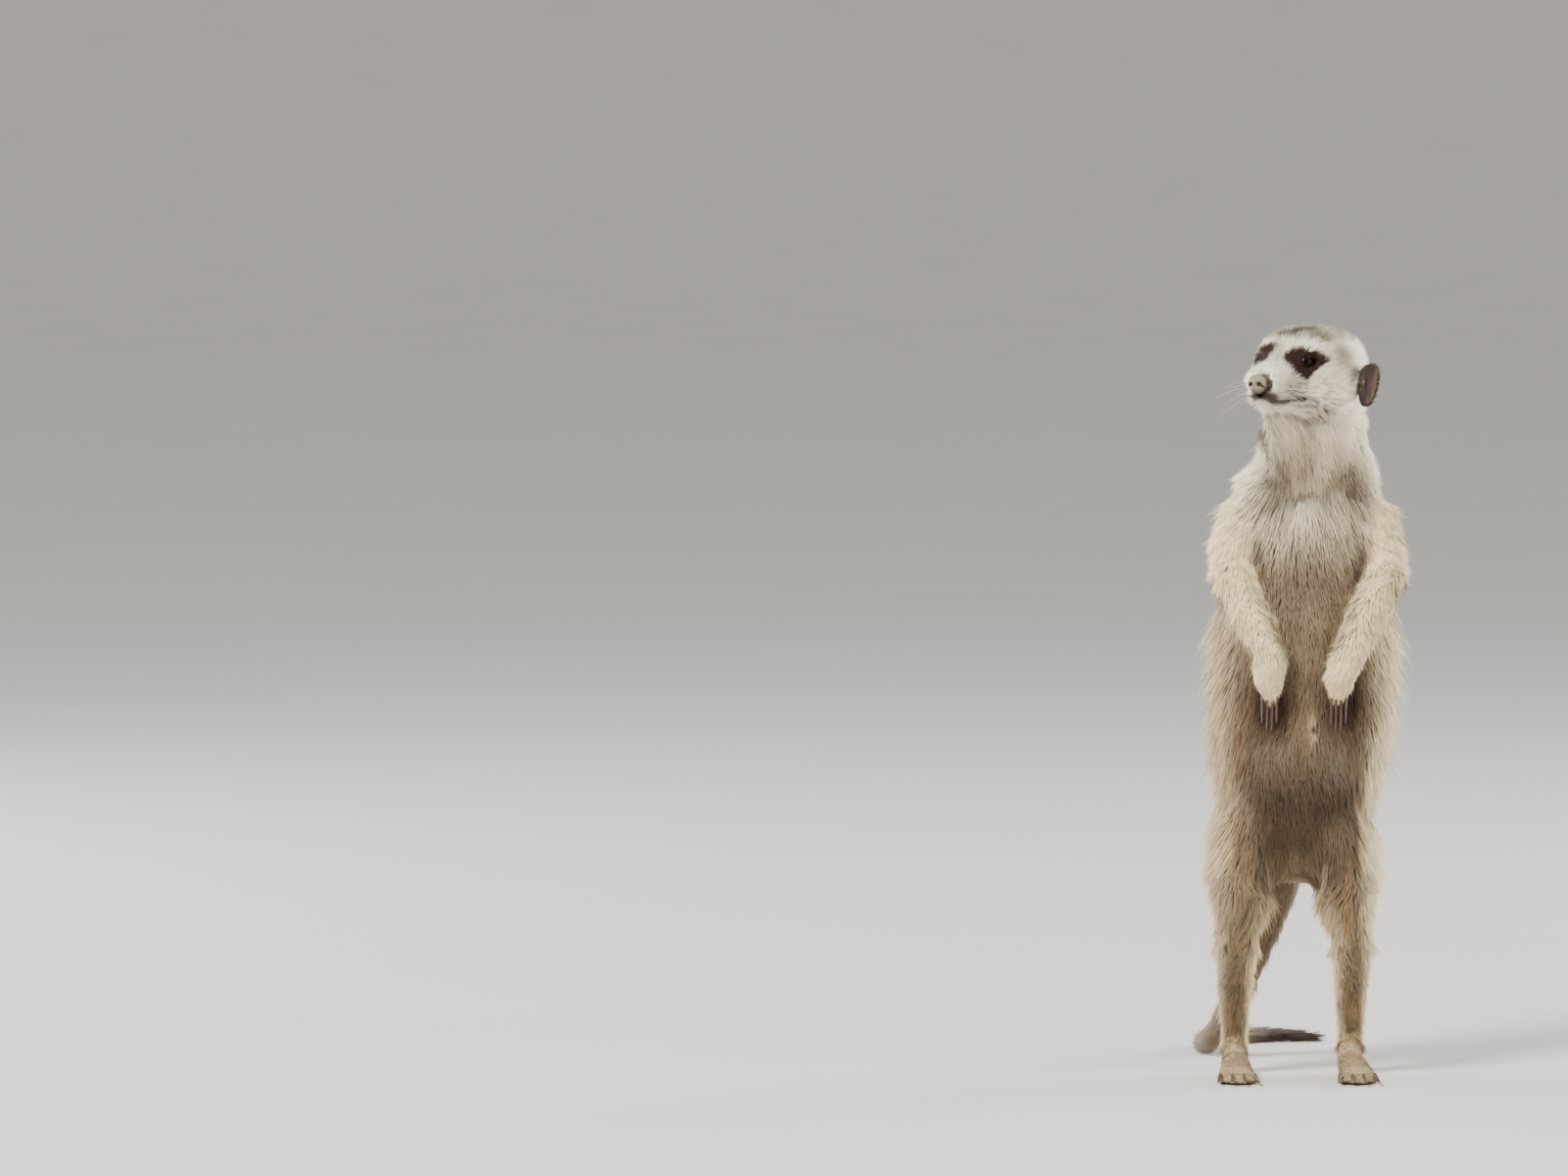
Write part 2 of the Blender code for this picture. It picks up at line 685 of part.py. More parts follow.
def main():
    for obj in list(bpy.data.objects):
        bpy.data.objects.remove(obj)
    parts, trunk_seat = body_parts()
    for word, side in SIDES.items():
        parts.update(arm_parts(side, word, trunk_seat))
        parts["eye_" + word] = eye_part(side, word, parts["head"])
    parts["nose"] = nose_part(parts["head"])
    for word, side in SIDES.items():
        parts["ear_" + word] = ear_part(side, word, parts["head"])
        claw_parts(side, word, parts)
    drop(trunk_seat)
    finish(parts)
    stand_on_origin(parts)


main()
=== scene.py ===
"""Dresses the standing meerkat: skin, coat, eyes, lids, nose, ears, claws and whiskers around its solids."""

import itertools
import json
from collections import namedtuple

import bmesh
import bpy
import numpy as np
from bpy.props import FloatProperty, FloatVectorProperty, IntProperty, PointerProperty
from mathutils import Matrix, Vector

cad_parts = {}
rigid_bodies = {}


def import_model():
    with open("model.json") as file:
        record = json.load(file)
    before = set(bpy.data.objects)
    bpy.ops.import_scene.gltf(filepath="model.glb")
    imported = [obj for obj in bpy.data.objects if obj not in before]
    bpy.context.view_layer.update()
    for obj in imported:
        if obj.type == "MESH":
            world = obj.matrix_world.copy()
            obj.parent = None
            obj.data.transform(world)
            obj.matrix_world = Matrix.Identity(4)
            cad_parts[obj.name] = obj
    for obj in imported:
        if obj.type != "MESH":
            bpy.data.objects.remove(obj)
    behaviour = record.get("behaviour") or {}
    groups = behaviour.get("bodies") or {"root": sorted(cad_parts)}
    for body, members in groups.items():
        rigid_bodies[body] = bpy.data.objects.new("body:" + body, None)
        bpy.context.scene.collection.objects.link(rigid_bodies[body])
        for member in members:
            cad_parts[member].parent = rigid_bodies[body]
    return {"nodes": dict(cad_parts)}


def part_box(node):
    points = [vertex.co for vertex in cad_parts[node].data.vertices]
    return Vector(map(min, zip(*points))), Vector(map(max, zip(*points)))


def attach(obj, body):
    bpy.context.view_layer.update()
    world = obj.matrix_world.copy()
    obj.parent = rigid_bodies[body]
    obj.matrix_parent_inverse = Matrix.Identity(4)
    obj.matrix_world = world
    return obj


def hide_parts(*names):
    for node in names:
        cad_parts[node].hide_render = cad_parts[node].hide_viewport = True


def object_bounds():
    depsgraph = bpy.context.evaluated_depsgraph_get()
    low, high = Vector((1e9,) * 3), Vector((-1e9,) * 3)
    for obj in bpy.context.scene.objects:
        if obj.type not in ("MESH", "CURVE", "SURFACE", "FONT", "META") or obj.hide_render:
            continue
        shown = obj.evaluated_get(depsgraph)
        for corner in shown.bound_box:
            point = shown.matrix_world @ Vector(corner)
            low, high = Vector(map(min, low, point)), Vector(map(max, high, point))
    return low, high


bl_info = {
    "name": "Standing Meerkat",
    "version": (1, 0, 0),
    "blender": (4, 5, 0),
    "location": "View3D > Sidebar > Meerkat",
    "description": "Skin, coat, eyes, nose, ears, claws and whiskers of a life-size meerkat",
    "category": "Add Mesh",
}

for startup_object in list(bpy.data.objects):
    bpy.data.objects.remove(startup_object)

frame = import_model()
CAD_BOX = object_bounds()

SIDES = {"left": 1.0, "right": -1.0}
FLESH = [
    name
    for name in frame["nodes"]
    if not name.startswith(("eye", "ear", "nose", "fore_claw", "hind_claw"))
]


# ---- small maths


def unit(vectors):
    """Each vector divided by its own length."""
    return vectors / np.maximum(np.linalg.norm(vectors, axis=-1, keepdims=True), 1e-12)


def dot(a, b):
    """The scalar product of each pair of vectors."""
    return (a * b).sum(-1)


def distance(points, place):
    """How far each point is from a place, or from its own place in a row of them."""
    return np.linalg.norm(points - place, axis=1)


def moved(place, *moves):
    """Places reached from a place: each move is an array of distances and a direction."""
    for distances, direction in moves:
        place = place + distances[..., None] * direction
    return place


def flattened(vectors, normals):
    """The vectors without the share of them that runs along the normals."""
    return moved(vectors, (-dot(vectors, normals), normals))


def ramp(x, low, high):
    """0 at low, 1 at high, with a smooth S between them (3t^2 - 2t^3)."""
    t = np.clip((x - low) / (high - low), 0, 1)
    return t * t * (3 - 2 * t)


def bell(x, middle, width):
    """A bell curve of height 1: e to the minus square of the distance from the middle in widths."""
    return np.exp(-(((x - middle) / width) ** 2))


def mix(a, b, share):
    """a where share is 0, b where it is 1."""
    return a + (b - a) * share


def scatter(cells, seed):
    """A number from 0 to 1 for each row of three whole numbers: their products with large primes are
    combined bit by bit and stirred, so that neighbours get unrelated values."""
    x, y, z = (cells[..., k].astype(np.int64) for k in range(3))
    h = (x * 73856093) ^ (y * 19349663) ^ (z * 83492791) ^ (seed * 2654435761)
    h = (h ^ (h >> 13)) * 1274126177 & 0x7FFFFFFF
    h = (h ^ (h >> 16)) * 668265263 & 0x7FFFFFFF
    return (h ^ (h >> 15)) / float(0x7FFFFFFF)


def clouds(points, size, seed):
    """Soft noise from 0 to 1: random values at the corners of cubes of that size, blended across them."""
    scaled = points / size
    cell = np.floor(scaled).astype(np.int64)
    t = scaled - cell
    t = t * t * (3 - 2 * t)
    total = 0
    for corner in itertools.product((0, 1), repeat=3):
        step = np.array(corner)
        weight = np.where(step, t, 1 - t).prod(-1)
        total = total + weight * scatter(cell + step, seed)
    return total


def fractal(points, size, seed):
    """Three layers of clouds, each half the size and half the strength of the last, from 0 to 1."""
    layers = [clouds(points, size / 2**k, seed + k) / 2**k for k in range(3)]
    return sum(layers) / 1.75


def clump_centres(points, size, seed):
    """The nearest of a loose crowd of centres, one placed at random in each cube of that size."""
    cell = np.floor(points / size).astype(np.int64)
    best = np.full(len(points), np.inf)
    nearest = points.copy()
    for corner in itertools.product((-1, 0, 1), repeat=3):
        there = cell + np.array(corner)
        jitter = np.stack([scatter(there, seed + k) for k in range(3)], -1)
        middle = (there + jitter) * size
        far = ((middle - points) ** 2).sum(-1)
        closer = far < best
        best = np.where(closer, far, best)
        nearest = np.where(closer[:, None], middle, nearest)
    return nearest


# ---- places read from the frame


def read(collection, field, width, kind=np.float32):
    """One field of every item of a collection, in rows of that width."""
    found = np.empty(len(collection) * width, kind)
    collection.foreach_get(field, found)
    return found.reshape(-1, width)


def vertex_places(mesh):
    """Every vertex of a mesh."""
    return read(mesh.vertices, "co", 3).astype(float)


def vertex_normals(mesh):
    """The normal at every vertex of a mesh."""
    return read(mesh.vertex_normals, "vector", 3).astype(float)


def edge_ends(mesh):
    """The two vertices of every edge."""
    return read(mesh.edges, "vertices", 2, np.int32)


def triangle_corners(mesh):
    """The three vertices of every triangle."""
    mesh.calc_loop_triangles()
    return read(mesh.loop_triangles, "vertices", 3, np.int32)


def move_vertices(mesh, points):
    """Puts every vertex of a mesh in a new place."""
    mesh.vertices.foreach_set("co", points.astype(np.float32).ravel())
    mesh.update()


def node_points(name):
    """The corners of a node's triangles."""
    return vertex_places(frame["nodes"][name].data)


def centre(name):
    """The middle of a node's box."""
    low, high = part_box(name)
    return np.array((low + high) / 2)


def line_through(name, towards, stations=6, straight=False):
    """The middle line of a node: its points are cut into slices across their longest direction, or across
    towards where straight is set, and each slice gives its mean point. The line runs in the direction
    towards."""
    points = node_points(name)
    middle = points.mean(0)
    axis = np.linalg.svd(points - middle, full_matrices=False)[2][0]
    axis = axis if axis @ np.asarray(towards) > 0 else -axis
    axis = np.asarray(towards) if straight else axis
    reach = (points - middle) @ axis
    edges = np.linspace(reach.min(), reach.max(), stations + 1)
    slices = [points[(reach >= a) & (reach <= b)] for a, b in zip(edges[:-1], edges[1:])]
    return np.array([s.mean(0) for s in slices if len(s)])


def joined_line(*parts):
    """The middle lines of several nodes, one after another. Each part holds what line_through takes."""
    return np.concatenate([line_through(*part) for part in parts])


def along_line(points, line):
    """For each point the nearest place on a line of points: its distance along, direction and place."""
    best = np.full(len(points), np.inf)
    along = np.zeros(len(points))
    direction, place = np.zeros((2, len(points), 3))
    gone = 0.0
    for a, b in itertools.pairwise(line):
        span = np.linalg.norm(b - a)
        heading = (b - a) / span
        t = np.clip((points - a) @ heading, 0, span)
        near = a + t[:, None] * heading
        far = ((points - near) ** 2).sum(-1)
        closer = far < best
        best = np.where(closer, far, best)
        along = np.where(closer, gone + t, along)
        direction = np.where(closer[:, None], heading, direction)
        place = np.where(closer[:, None], near, place)
        gone += span
    return along, direction, place


HEIGHT = CAD_BOX[1][2]
EYE = {side: centre(f"eye_{side}") for side in SIDES}
EYES = (EYE["left"] + EYE["right"]) / 2
NOSE = centre("nose")
LEFT = unit(EYE["left"] - EYE["right"])
FORWARD = unit((NOSE - EYES) * (1, 1, 0))
UP = np.cross(FORWARD, LEFT)
EAR = {side: centre(f"ear_{side}") for side in SIDES}
HIPS = (centre("thigh_left") + centre("thigh_right")) / 2
NECK = centre("neck")
DOWN = np.array((0.0, 0.0, -1.0))
EYE_RADIUS = (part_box("eye_left")[1][2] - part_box("eye_left")[0][2]) / 2
EAR_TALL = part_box("ear_left")[1][2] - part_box("ear_left")[0][2]

ARM = {
    side: joined_line(
        (f"upper_arm_{side}", DOWN, 3), (f"forearm_{side}", DOWN, 5), (f"forepaw_{side}", DOWN, 3)
    )
    for side in SIDES
}
LEG = {
    side: joined_line((f"thigh_{side}", DOWN, 4, True), (f"shank_{side}", DOWN, 4, True)) for side in SIDES
}
FOOT = {side: line_through(f"hind_foot_{side}", (0, -1, 0), 5) for side in SIDES}
TAIL = joined_line(("tail_base", DOWN, 5), ("tail_middle", (0, 1, -1), 8), ("tail_tip", (1, 0.2, 0), 6))
BACKBONE = np.array([HIPS - (0, 0, 0.03), HIPS + (0, 0, 0.05), NECK - (0, 0, 0.02), NECK + (0, 0, 0.02)])
SKULL = np.array([EYES - FORWARD * 0.05, EYES - FORWARD * 0.02, NOSE])


def in_face(points):
    """Distances ahead of, to the left of and above the point between the eyes."""
    away = points - EYES
    return away @ FORWARD, away @ LEFT, away @ UP


def face_point(ahead, left, up):
    """The place that lies so far ahead of, left of and above the point between the eyes."""
    return EYES + FORWARD * ahead + LEFT * left + UP * up


# ---- settings


def colour(name, description, red, green, blue):
    """A colour setting. The numbers are as a paint chart shows them, and are stored as linear light."""
    shown = np.array((red, green, blue))
    light = np.where(shown <= 0.04045, shown / 12.92, ((shown + 0.055) / 1.055) ** 2.4)
    return FloatVectorProperty(
        name=name, description=description, default=light.tolist(), subtype="COLOR", min=0, max=1
    )


def length(name, description, default):
    """A length setting, in metres."""
    return FloatProperty(name=name, description=description, default=default, unit="LENGTH", min=0)


def factor(name, description, low, high):
    """A setting that multiplies a measure or a count, and is 1 at first."""
    return FloatProperty(
        name=name, description=description, default=1.0, min=low, max=high, subtype="FACTOR"
    )


class MeerkatColours(bpy.types.PropertyGroup):
    """The colours of the animal."""

    # Dark, grey, brown and cream also paint light and shade: dark paints shade round the forepaws' claws, in
    # the armpits, along the arms' inner edges, under the body, round the nose pad and in the nostrils; grey
    # and brown paint shade in the armpits, the neck's folds and the jaw's crease; cream paints rim light on
    # the flank towards positive x and on the legs' sides.
    tan: colour("Tan", "Ticked coat of the back and tail", 0.64, 0.51, 0.36)
    buff: colour("Buff", "Coat of the flanks", 0.83, 0.70, 0.49)
    cream: colour("Cream", "Coat of the arms and the pale rims", 1.0, 0.915, 0.72)
    white: colour("White", "Hair of the face and throat", 1.0, 0.95, 0.85)
    grey: colour("Grey", "Grizzled hair of the crown and chest", 0.55, 0.52, 0.46)
    brown: colour("Brown", "Thin hair of the belly and inner legs", 0.45, 0.39, 0.305)
    rust: colour("Rust", "Warm streaks on the flanks", 0.60, 0.40, 0.21)
    dark: colour("Dark", "Eye patches, ears, bands and tail tip", 0.20, 0.13, 0.11)
    horn: colour("Horn", "Claws", 0.24, 0.17, 0.14)
    leather: colour("Leather", "Nose pad", 0.66, 0.60, 0.47)
    iris: colour("Iris", "Brown of the eye", 0.13, 0.07, 0.045)


class MeerkatSizes(bpy.types.PropertyGroup):
    """The sizes that a user would change."""

    skin_cell: length("Skin cell", "Edge of the skin mesh's faces", 0.0014)
    eye_opening: length("Eye opening", "Half of the width between the corners of the eye", 0.0046)
    tuft_share: factor("Tufts", "Share of the full number of tufts", 0.05, 1)
    coat_length: factor("Coat length", "Length of every tuft against its normal length", 0.3, 1.5)
    coat_width: factor("Tuft width", "Width of every tuft against its normal width", 0.3, 3)
    whiskers: IntProperty(
        name="Whiskers", description="Whiskers on each side of the muzzle", default=16, min=0
    )
    floor_reach: length("Floor", "Radius of the flat part of the studio floor", 11.0)


# ---- meshes


def new_object(name, data):
    """A new object in the scene."""
    made = bpy.data.objects.new(name, data)
    bpy.context.scene.collection.objects.link(made)
    return made


def new_piece(name, points, faces, material):
    """An object made from arrays: points by threes, and faces with the same number of corners each."""
    mesh = bpy.data.meshes.new(name)
    faces = np.asarray(faces)
    mesh.vertices.add(len(points))
    mesh.vertices.foreach_set("co", np.asarray(points, np.float32).ravel())
    mesh.loops.add(faces.size)
    mesh.loops.foreach_set("vertex_index", faces.astype(np.int32).ravel())
    mesh.polygons.add(len(faces))
    mesh.polygons.foreach_set("loop_start", np.arange(len(faces), dtype=np.int32) * faces.shape[1])
    mesh.update(calc_edges=True)
    mesh.shade_smooth()
    piece = new_object(name, mesh)
    dress(piece, material)
    return piece


def dress(piece, material):
    """Gives a piece its material and slot, and makes it ride on the body."""
    piece.data.materials.clear()
    piece.data.materials.append(material)
    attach(piece, "root")


def grid_faces(rows, columns, round_rows=False):
    """Four-cornered faces of a grid that is closed round its columns, and round its rows if asked."""
    row, column = np.meshgrid(np.arange(rows - (not round_rows)), np.arange(columns), indexing="ij")
    beside, above = (column + 1) % columns, (row + 1) % rows * columns
    row = row * columns
    return np.stack([row + column, row + beside, above + beside, above + column], -1).reshape(-1, 4)


def round_circle(count):
    """Evenly spaced angles round a whole circle."""
    return np.linspace(0, 2 * np.pi, count, endpoint=False)


def closed_tube(rings):
    """Points and triangles of a closed skin over rings (ring, round, xyz), with a pole at each end's mean."""
    rows, columns = rings.shape[:2]
    quads = grid_faces(rows, columns)
    sides = np.concatenate([quads[:, [0, 1, 2]], quads[:, [0, 2, 3]]])
    points = np.concatenate([rings.reshape(-1, 3), rings[:1].mean(1), rings[-1:].mean(1)])
    first, last = rows * columns, rows * columns + 1
    here = np.arange(columns)
    after = (here + 1) % columns
    start = np.stack([np.full(columns, first), after, here], -1)
    base = (rows - 1) * columns
    end = np.stack([np.full(columns, last), base + here, base + after], -1)
    return points, np.concatenate([sides, start, end])


# The kind and field of a stored value, by how many numbers it holds.
STORED = {1: ("FLOAT", "value"), 3: ("FLOAT_VECTOR", "vector"), 4: ("FLOAT_COLOR", "color")}


def set_values(mesh, **stores):
    """Stores values for each vertex under a name: a number, or a row of three or four. A row of eight is
    stored as two rows of four, under the name with _a and with _b."""
    for name, values in stores.items():
        values = np.asarray(values, np.float32)
        if values[0].size == 8:
            set_values(mesh, **{f"{name}_a": values[:, :4], f"{name}_b": values[:, 4:]})
            continue
        kind, field = STORED[values[0].size]
        mesh.attributes.new(name, kind, "POINT").data.foreach_set(field, values.ravel())


def get_values(mesh, name, width):
    """The values that set_values stored, in rows of that width, or one after another for a width of 1."""
    if width == 8:
        return np.concatenate([get_values(mesh, f"{name}_{half}", 4) for half in "ab"], -1)
    found = read(mesh.attributes[name].data, STORED[width][1], width).astype(float)
    return found if width > 1 else found[:, 0]


def relax(values, ends, rounds, share=0.5):
    """Each round moves every vertex's values by a share of the way to the mean of its neighbours'."""
    count = len(values)
    a, b = ends.T
    many = np.maximum(np.bincount(a, minlength=count) + np.bincount(b, minlength=count), 1)
    columns = values.reshape(count, -1).copy()
    for _ in range(rounds):
        for k in range(columns.shape[1]):
            column = columns[:, k]
            mean = (
                np.bincount(a, column[b], minlength=count) + np.bincount(b, column[a], minlength=count)
            ) / many
            columns[:, k] = mix(column, mean, share)
    return columns.reshape(values.shape)


def soften(points, ends, rounds):
    """Smooths a surface without shrinking it: a step to the neighbours, and a slightly larger one back."""
    for _ in range(rounds):
        points = relax(points, ends, 1, 0.5)
        points = relax(points, ends, 1, -0.53)
    return points


# ---- materials


def wire(tree, source, target):
    """Joins an output to an input."""
    tree.links.new(source, target)


def set_numbers(node, numbers):
    """Sets the numbers of some of a node's sockets, named in a dictionary or in none."""
    for socket, number in (numbers or {}).items():
        node.inputs[socket].default_value = number


def new_node(tree, kind, numbers=None):
    """A new node with the numbers of some of its sockets set."""
    node = tree.nodes.new(f"ShaderNode{kind}")
    set_numbers(node, numbers)
    return node


def maths(tree, operation, first, second):
    """A maths node of two inputs, each a number or an output."""
    node = new_node(tree, "Math")
    node.operation = operation
    for socket, value in zip(node.inputs, (first, second)):
        if isinstance(value, (int, float)):
            socket.default_value = value
        else:
            wire(tree, value, socket)
    return node.outputs[0]


def times(tree, first, second):
    """The product of two values."""
    return maths(tree, "MULTIPLY", first, second)


def plus(tree, first, second):
    """The sum of two values."""
    return maths(tree, "ADD", first, second)


def blend_colours(tree, below, above, share):
    """A colour mix node. below and above are three numbers or an output, and share is an output."""
    node = new_node(tree, "Mix")
    node.data_type = "RGBA"
    wire(tree, share, node.inputs[0])
    for socket, value in ((node.inputs[6], below), (node.inputs[7], above)):
        if hasattr(value, "is_output"):
            wire(tree, value, socket)
        else:
            socket.default_value = (*value, 1)
    return node.outputs[2]


def object_place(tree):
    """The place on the piece, in the animal's own space."""
    return new_node(tree, "TexCoord").outputs["Object"]


def split(tree, kind, source):
    """The parts of a vector (kind XYZ) or of a colour (kind Color)."""
    node = new_node(tree, f"Separate{kind}")
    wire(tree, source, node.inputs[0])
    return node.outputs


def stored(tree, name):
    """The node that reads what set_values stored on the mesh under a name."""
    node = new_node(tree, "Attribute")
    node.attribute_name = name
    return node


def rescale(tree, value, low, high, top=1.0, smooth=False):
    """The node that carries a value from 0 at low to top at high, straight or in a smooth S."""
    node = new_node(tree, "MapRange", {"From Min": low, "From Max": high, "To Max": top})
    node.interpolation_type = "SMOOTHSTEP" if smooth else "LINEAR"
    wire(tree, value, node.inputs["Value"])
    return node


def noise(tree, scale, detail):
    """A noise texture's value over the piece."""
    node = new_node(tree, "TexNoise", {"Scale": scale, "Detail": detail})
    wire(tree, object_place(tree), node.inputs["Vector"])
    return node.outputs["Fac"]


MARKS = ("buff", "cream", "white", "grey", "brown", "rust", "dark", "tick")


def coat_group(colours):
    """Node group: mixes the coat's colours in the order of MARKS by the shares stored on the mesh, darkens
    the roots (partly the hair's own dark base, partly painted shade in the gaps between tufts), pales the
    tips, adds the dark ticking near the tips, and varies the whole from tuft to tuft."""
    group = bpy.data.node_groups.get("coat_colour")
    if group:
        return group
    group = bpy.data.node_groups.new("coat_colour", "ShaderNodeTree")
    for name, kind, direction in (
        ("Root shade", "Float", "INPUT"),
        ("Variation", "Float", "INPUT"),
        ("Colour", "Color", "OUTPUT"),
        ("Roughness", "Float", "OUTPUT"),
        ("Relief", "Float", "OUTPUT"),
    ):
        group.interface.new_socket(name=name, in_out=direction, socket_type=f"NodeSocket{kind}")

    inside = group.nodes.new("NodeGroupInput")
    outside = group.nodes.new("NodeGroupOutput")
    shares = []
    for name in ("marks_a", "marks_b"):
        four = stored(group, name)
        shares += [*split(group, "Color", four.outputs["Color"]), four.outputs["Alpha"]]
    along, chance, pale_tip = split(group, "XYZ", stored(group, "strand").outputs["Vector"])

    shown = tuple(colours.tan)
    for name, share in zip(MARKS[:7], shares):
        shown = blend_colours(group, shown, getattr(colours, name), share)
    near_tip = rescale(group, along, 0.25, 0.90, smooth=True).outputs[0]
    shown = blend_colours(group, shown, colours.cream, times(group, near_tip, pale_tip))

    # The tick is a tent over the distance from its middle, 0.62 of the way to the tip.
    ring = times(group, maths(group, "ABSOLUTE", maths(group, "SUBTRACT", along, 0.62), 0), 5.0)
    ring = maths(group, "MAXIMUM", maths(group, "SUBTRACT", 1.0, ring), 0.0)
    shown = blend_colours(group, shown, colours.dark, times(group, ring, shares[7]))

    # Roots are darker by their shade, less so where the hair is cream or white, and values climb a little
    # past the colour near the tips: partly the hair's own dark base, partly painted shade between tufts.
    shade = inside.outputs["Root shade"]
    fair = maths(group, "MAXIMUM", shares[1], shares[2])
    lift = times(group, maths(group, "SUBTRACT", 1.0, shade), times(group, fair, 0.80))
    bright = rescale(group, along, 0.0, 0.75, top=1.06)
    wire(group, plus(group, shade, lift), bright.inputs["To Min"])

    # Tufts differ, and a fine grain runs over them all.
    vary = times(group, maths(group, "SUBTRACT", chance, 0.5), inside.outputs["Variation"])
    fine = noise(group, 1500.0, 2.0)
    value = times(group, bright.outputs[0], plus(group, vary, 1.0))
    value = times(group, value, plus(group, times(group, fine, 0.20), 0.90))
    tint = new_node(group, "HueSaturation")
    wire(group, value, tint.inputs["Value"])
    wire(group, shown, tint.inputs["Color"])
    wire(group, tint.outputs[0], outside.inputs["Colour"])
    wire(group, plus(group, times(group, fine, 0.2), 0.52), outside.inputs["Roughness"])
    wire(group, fine, outside.inputs["Relief"])
    return group


def principled(name, settings=None):
    """A new material, its tree and its Principled BSDF with the numbers of some of its sockets set."""
    material = bpy.data.materials.new(name)
    material.use_nodes = True
    tree = material.node_tree
    shader = tree.nodes["Principled BSDF"]
    set_numbers(shader, settings)
    return material, tree, shader


def raise_relief(tree, shader, height, most):
    """Feeds a height through a Bump node into a shader's normal."""
    bump = new_node(tree, "Bump", {"Strength": 1.0, "Distance": most})
    wire(tree, height, bump.inputs["Height"])
    wire(tree, bump.outputs[0], shader.inputs["Normal"])


def lay_colours(tree, shader, ground, *coats):
    """Wires the base colour: a ground with each coat, a colour and its share, blended over it in turn."""
    for shade, share in coats:
        ground = blend_colours(tree, ground, shade, share)
    wire(tree, ground, shader.inputs["Base Color"])


def hair_material(name, root_shade, variation, sheen, relief):
    """Hair or furred skin: the shared coat colours over a rough surface with a faint sheen."""
    found = bpy.data.materials.get(name)
    if found:
        return found
    settings = {"Specular IOR Level": 0.14, "Sheen Weight": sheen}
    material, tree, shader = principled(name, settings)
    group = new_node(tree, "Group")
    group.node_tree = coat_group(bpy.context.scene.meerkat_colours)
    set_numbers(group, {"Root shade": root_shade, "Variation": variation})
    wire(tree, group.outputs["Colour"], shader.inputs["Base Color"])
    wire(tree, group.outputs["Roughness"], shader.inputs["Roughness"])
    if relief:
        raise_relief(tree, shader, group.outputs["Relief"], relief)
    return material


# ---- skin

# For each part: depth of the coat, length of its tufts, their lift off the skin in degrees, their width,
# and how many stand on each square millimetre against the rest.
COATS = {
    "head": (0.0013, 0.0042, 22, 0.00040, 1.0),
    "neck": (0.0036, 0.0082, 28, 0.00056, 1.0),
    "trunk": (0.0048, 0.0130, 24, 0.00074, 1.0),
    "upper_arm": (0.0032, 0.0094, 31, 0.00062, 1.0),
    "forearm": (0.0022, 0.0072, 31, 0.00052, 1.0),
    "forepaw": (0.0009, 0.0040, 20, 0.00040, 1.5),
    "thigh": (0.0042, 0.0110, 24, 0.00070, 1.0),
    "shank": (0.0020, 0.0065, 20, 0.00056, 1.0),
    "hind_foot": (0.0007, 0.0032, 14, 0.00040, 1.2),
    "tail_base": (0.0030, 0.0085, 20, 0.00060, 1.0),
    "tail_middle": (0.0020, 0.0075, 18, 0.00056, 1.0),
    "tail_tip": (0.0016, 0.0085, 16, 0.00054, 1.1),
}
DEPTH, LONG, LIFT, WIDE = range(4)
FUSE = 0.00035

# The lids and the mouth: their thicknesses and depths in metres, and the opening's height and slant
# as shares of its width.
OPENING_TALL = 0.56
OPENING_SLANT = 0.10
LID_THICK = 0.0005
SOCKET_DEEP = 0.0028
MOUTH_BACK = 0.0032
GROOVE_DEEP = 0.0011
LIP_HIGH = 0.0004


def part_of(name):
    """A node's name without its side."""
    return name.removesuffix("_left").removesuffix("_right")


def flesh_mesh():
    """The flesh nodes and the eyes as one mesh: they swell by the width of the thin cuts between them, and
    a fine grid of cubes then gives one closed surface round them all."""
    joined = bmesh.new()
    for name in [*FLESH, "eye_left", "eye_right"]:
        joined.from_mesh(frame["nodes"][name].data)
    bmesh.ops.remove_doubles(joined, verts=joined.verts, dist=0.00001)
    mesh = bpy.data.meshes.new("flesh")
    joined.to_mesh(mesh)
    joined.free()
    move_vertices(mesh, vertex_places(mesh) + vertex_normals(mesh) * FUSE)
    holder = new_object("flesh", mesh)
    cubes = holder.modifiers.new("cubes", "REMESH")
    cubes.mode = "VOXEL"
    cubes.voxel_size = bpy.context.scene.meerkat_sizes.skin_cell
    graph = bpy.context.evaluated_depsgraph_get()
    whole = bpy.data.meshes.new_from_object(holder.evaluated_get(graph))
    bpy.data.objects.remove(holder)
    return whole


def refine_head(mesh):
    """Cuts the faces of the front of the head into four, for the lids, lips and muzzle."""
    eyes, forward = Vector(EYES), Vector(FORWARD)
    fine = bmesh.new()
    fine.from_mesh(mesh)

    def in_front(vertex):
        """True ahead of the temples and above the throat."""
        return (vertex.co - eyes) @ forward > -0.012 and vertex.co.z > EYES[2] - 0.030

    ahead = [
        edge
        for edge in fine.edges
        if all(map(in_front, edge.verts)) and (edge.verts[0].co - eyes).length < 0.042
    ]
    bmesh.ops.subdivide_edges(fine, edges=ahead, cuts=1, use_grid_fill=True)
    bmesh.ops.triangulate(fine, faces=[f for f in fine.faces if len(f.verts) > 4])
    fine.to_mesh(mesh)
    fine.free()


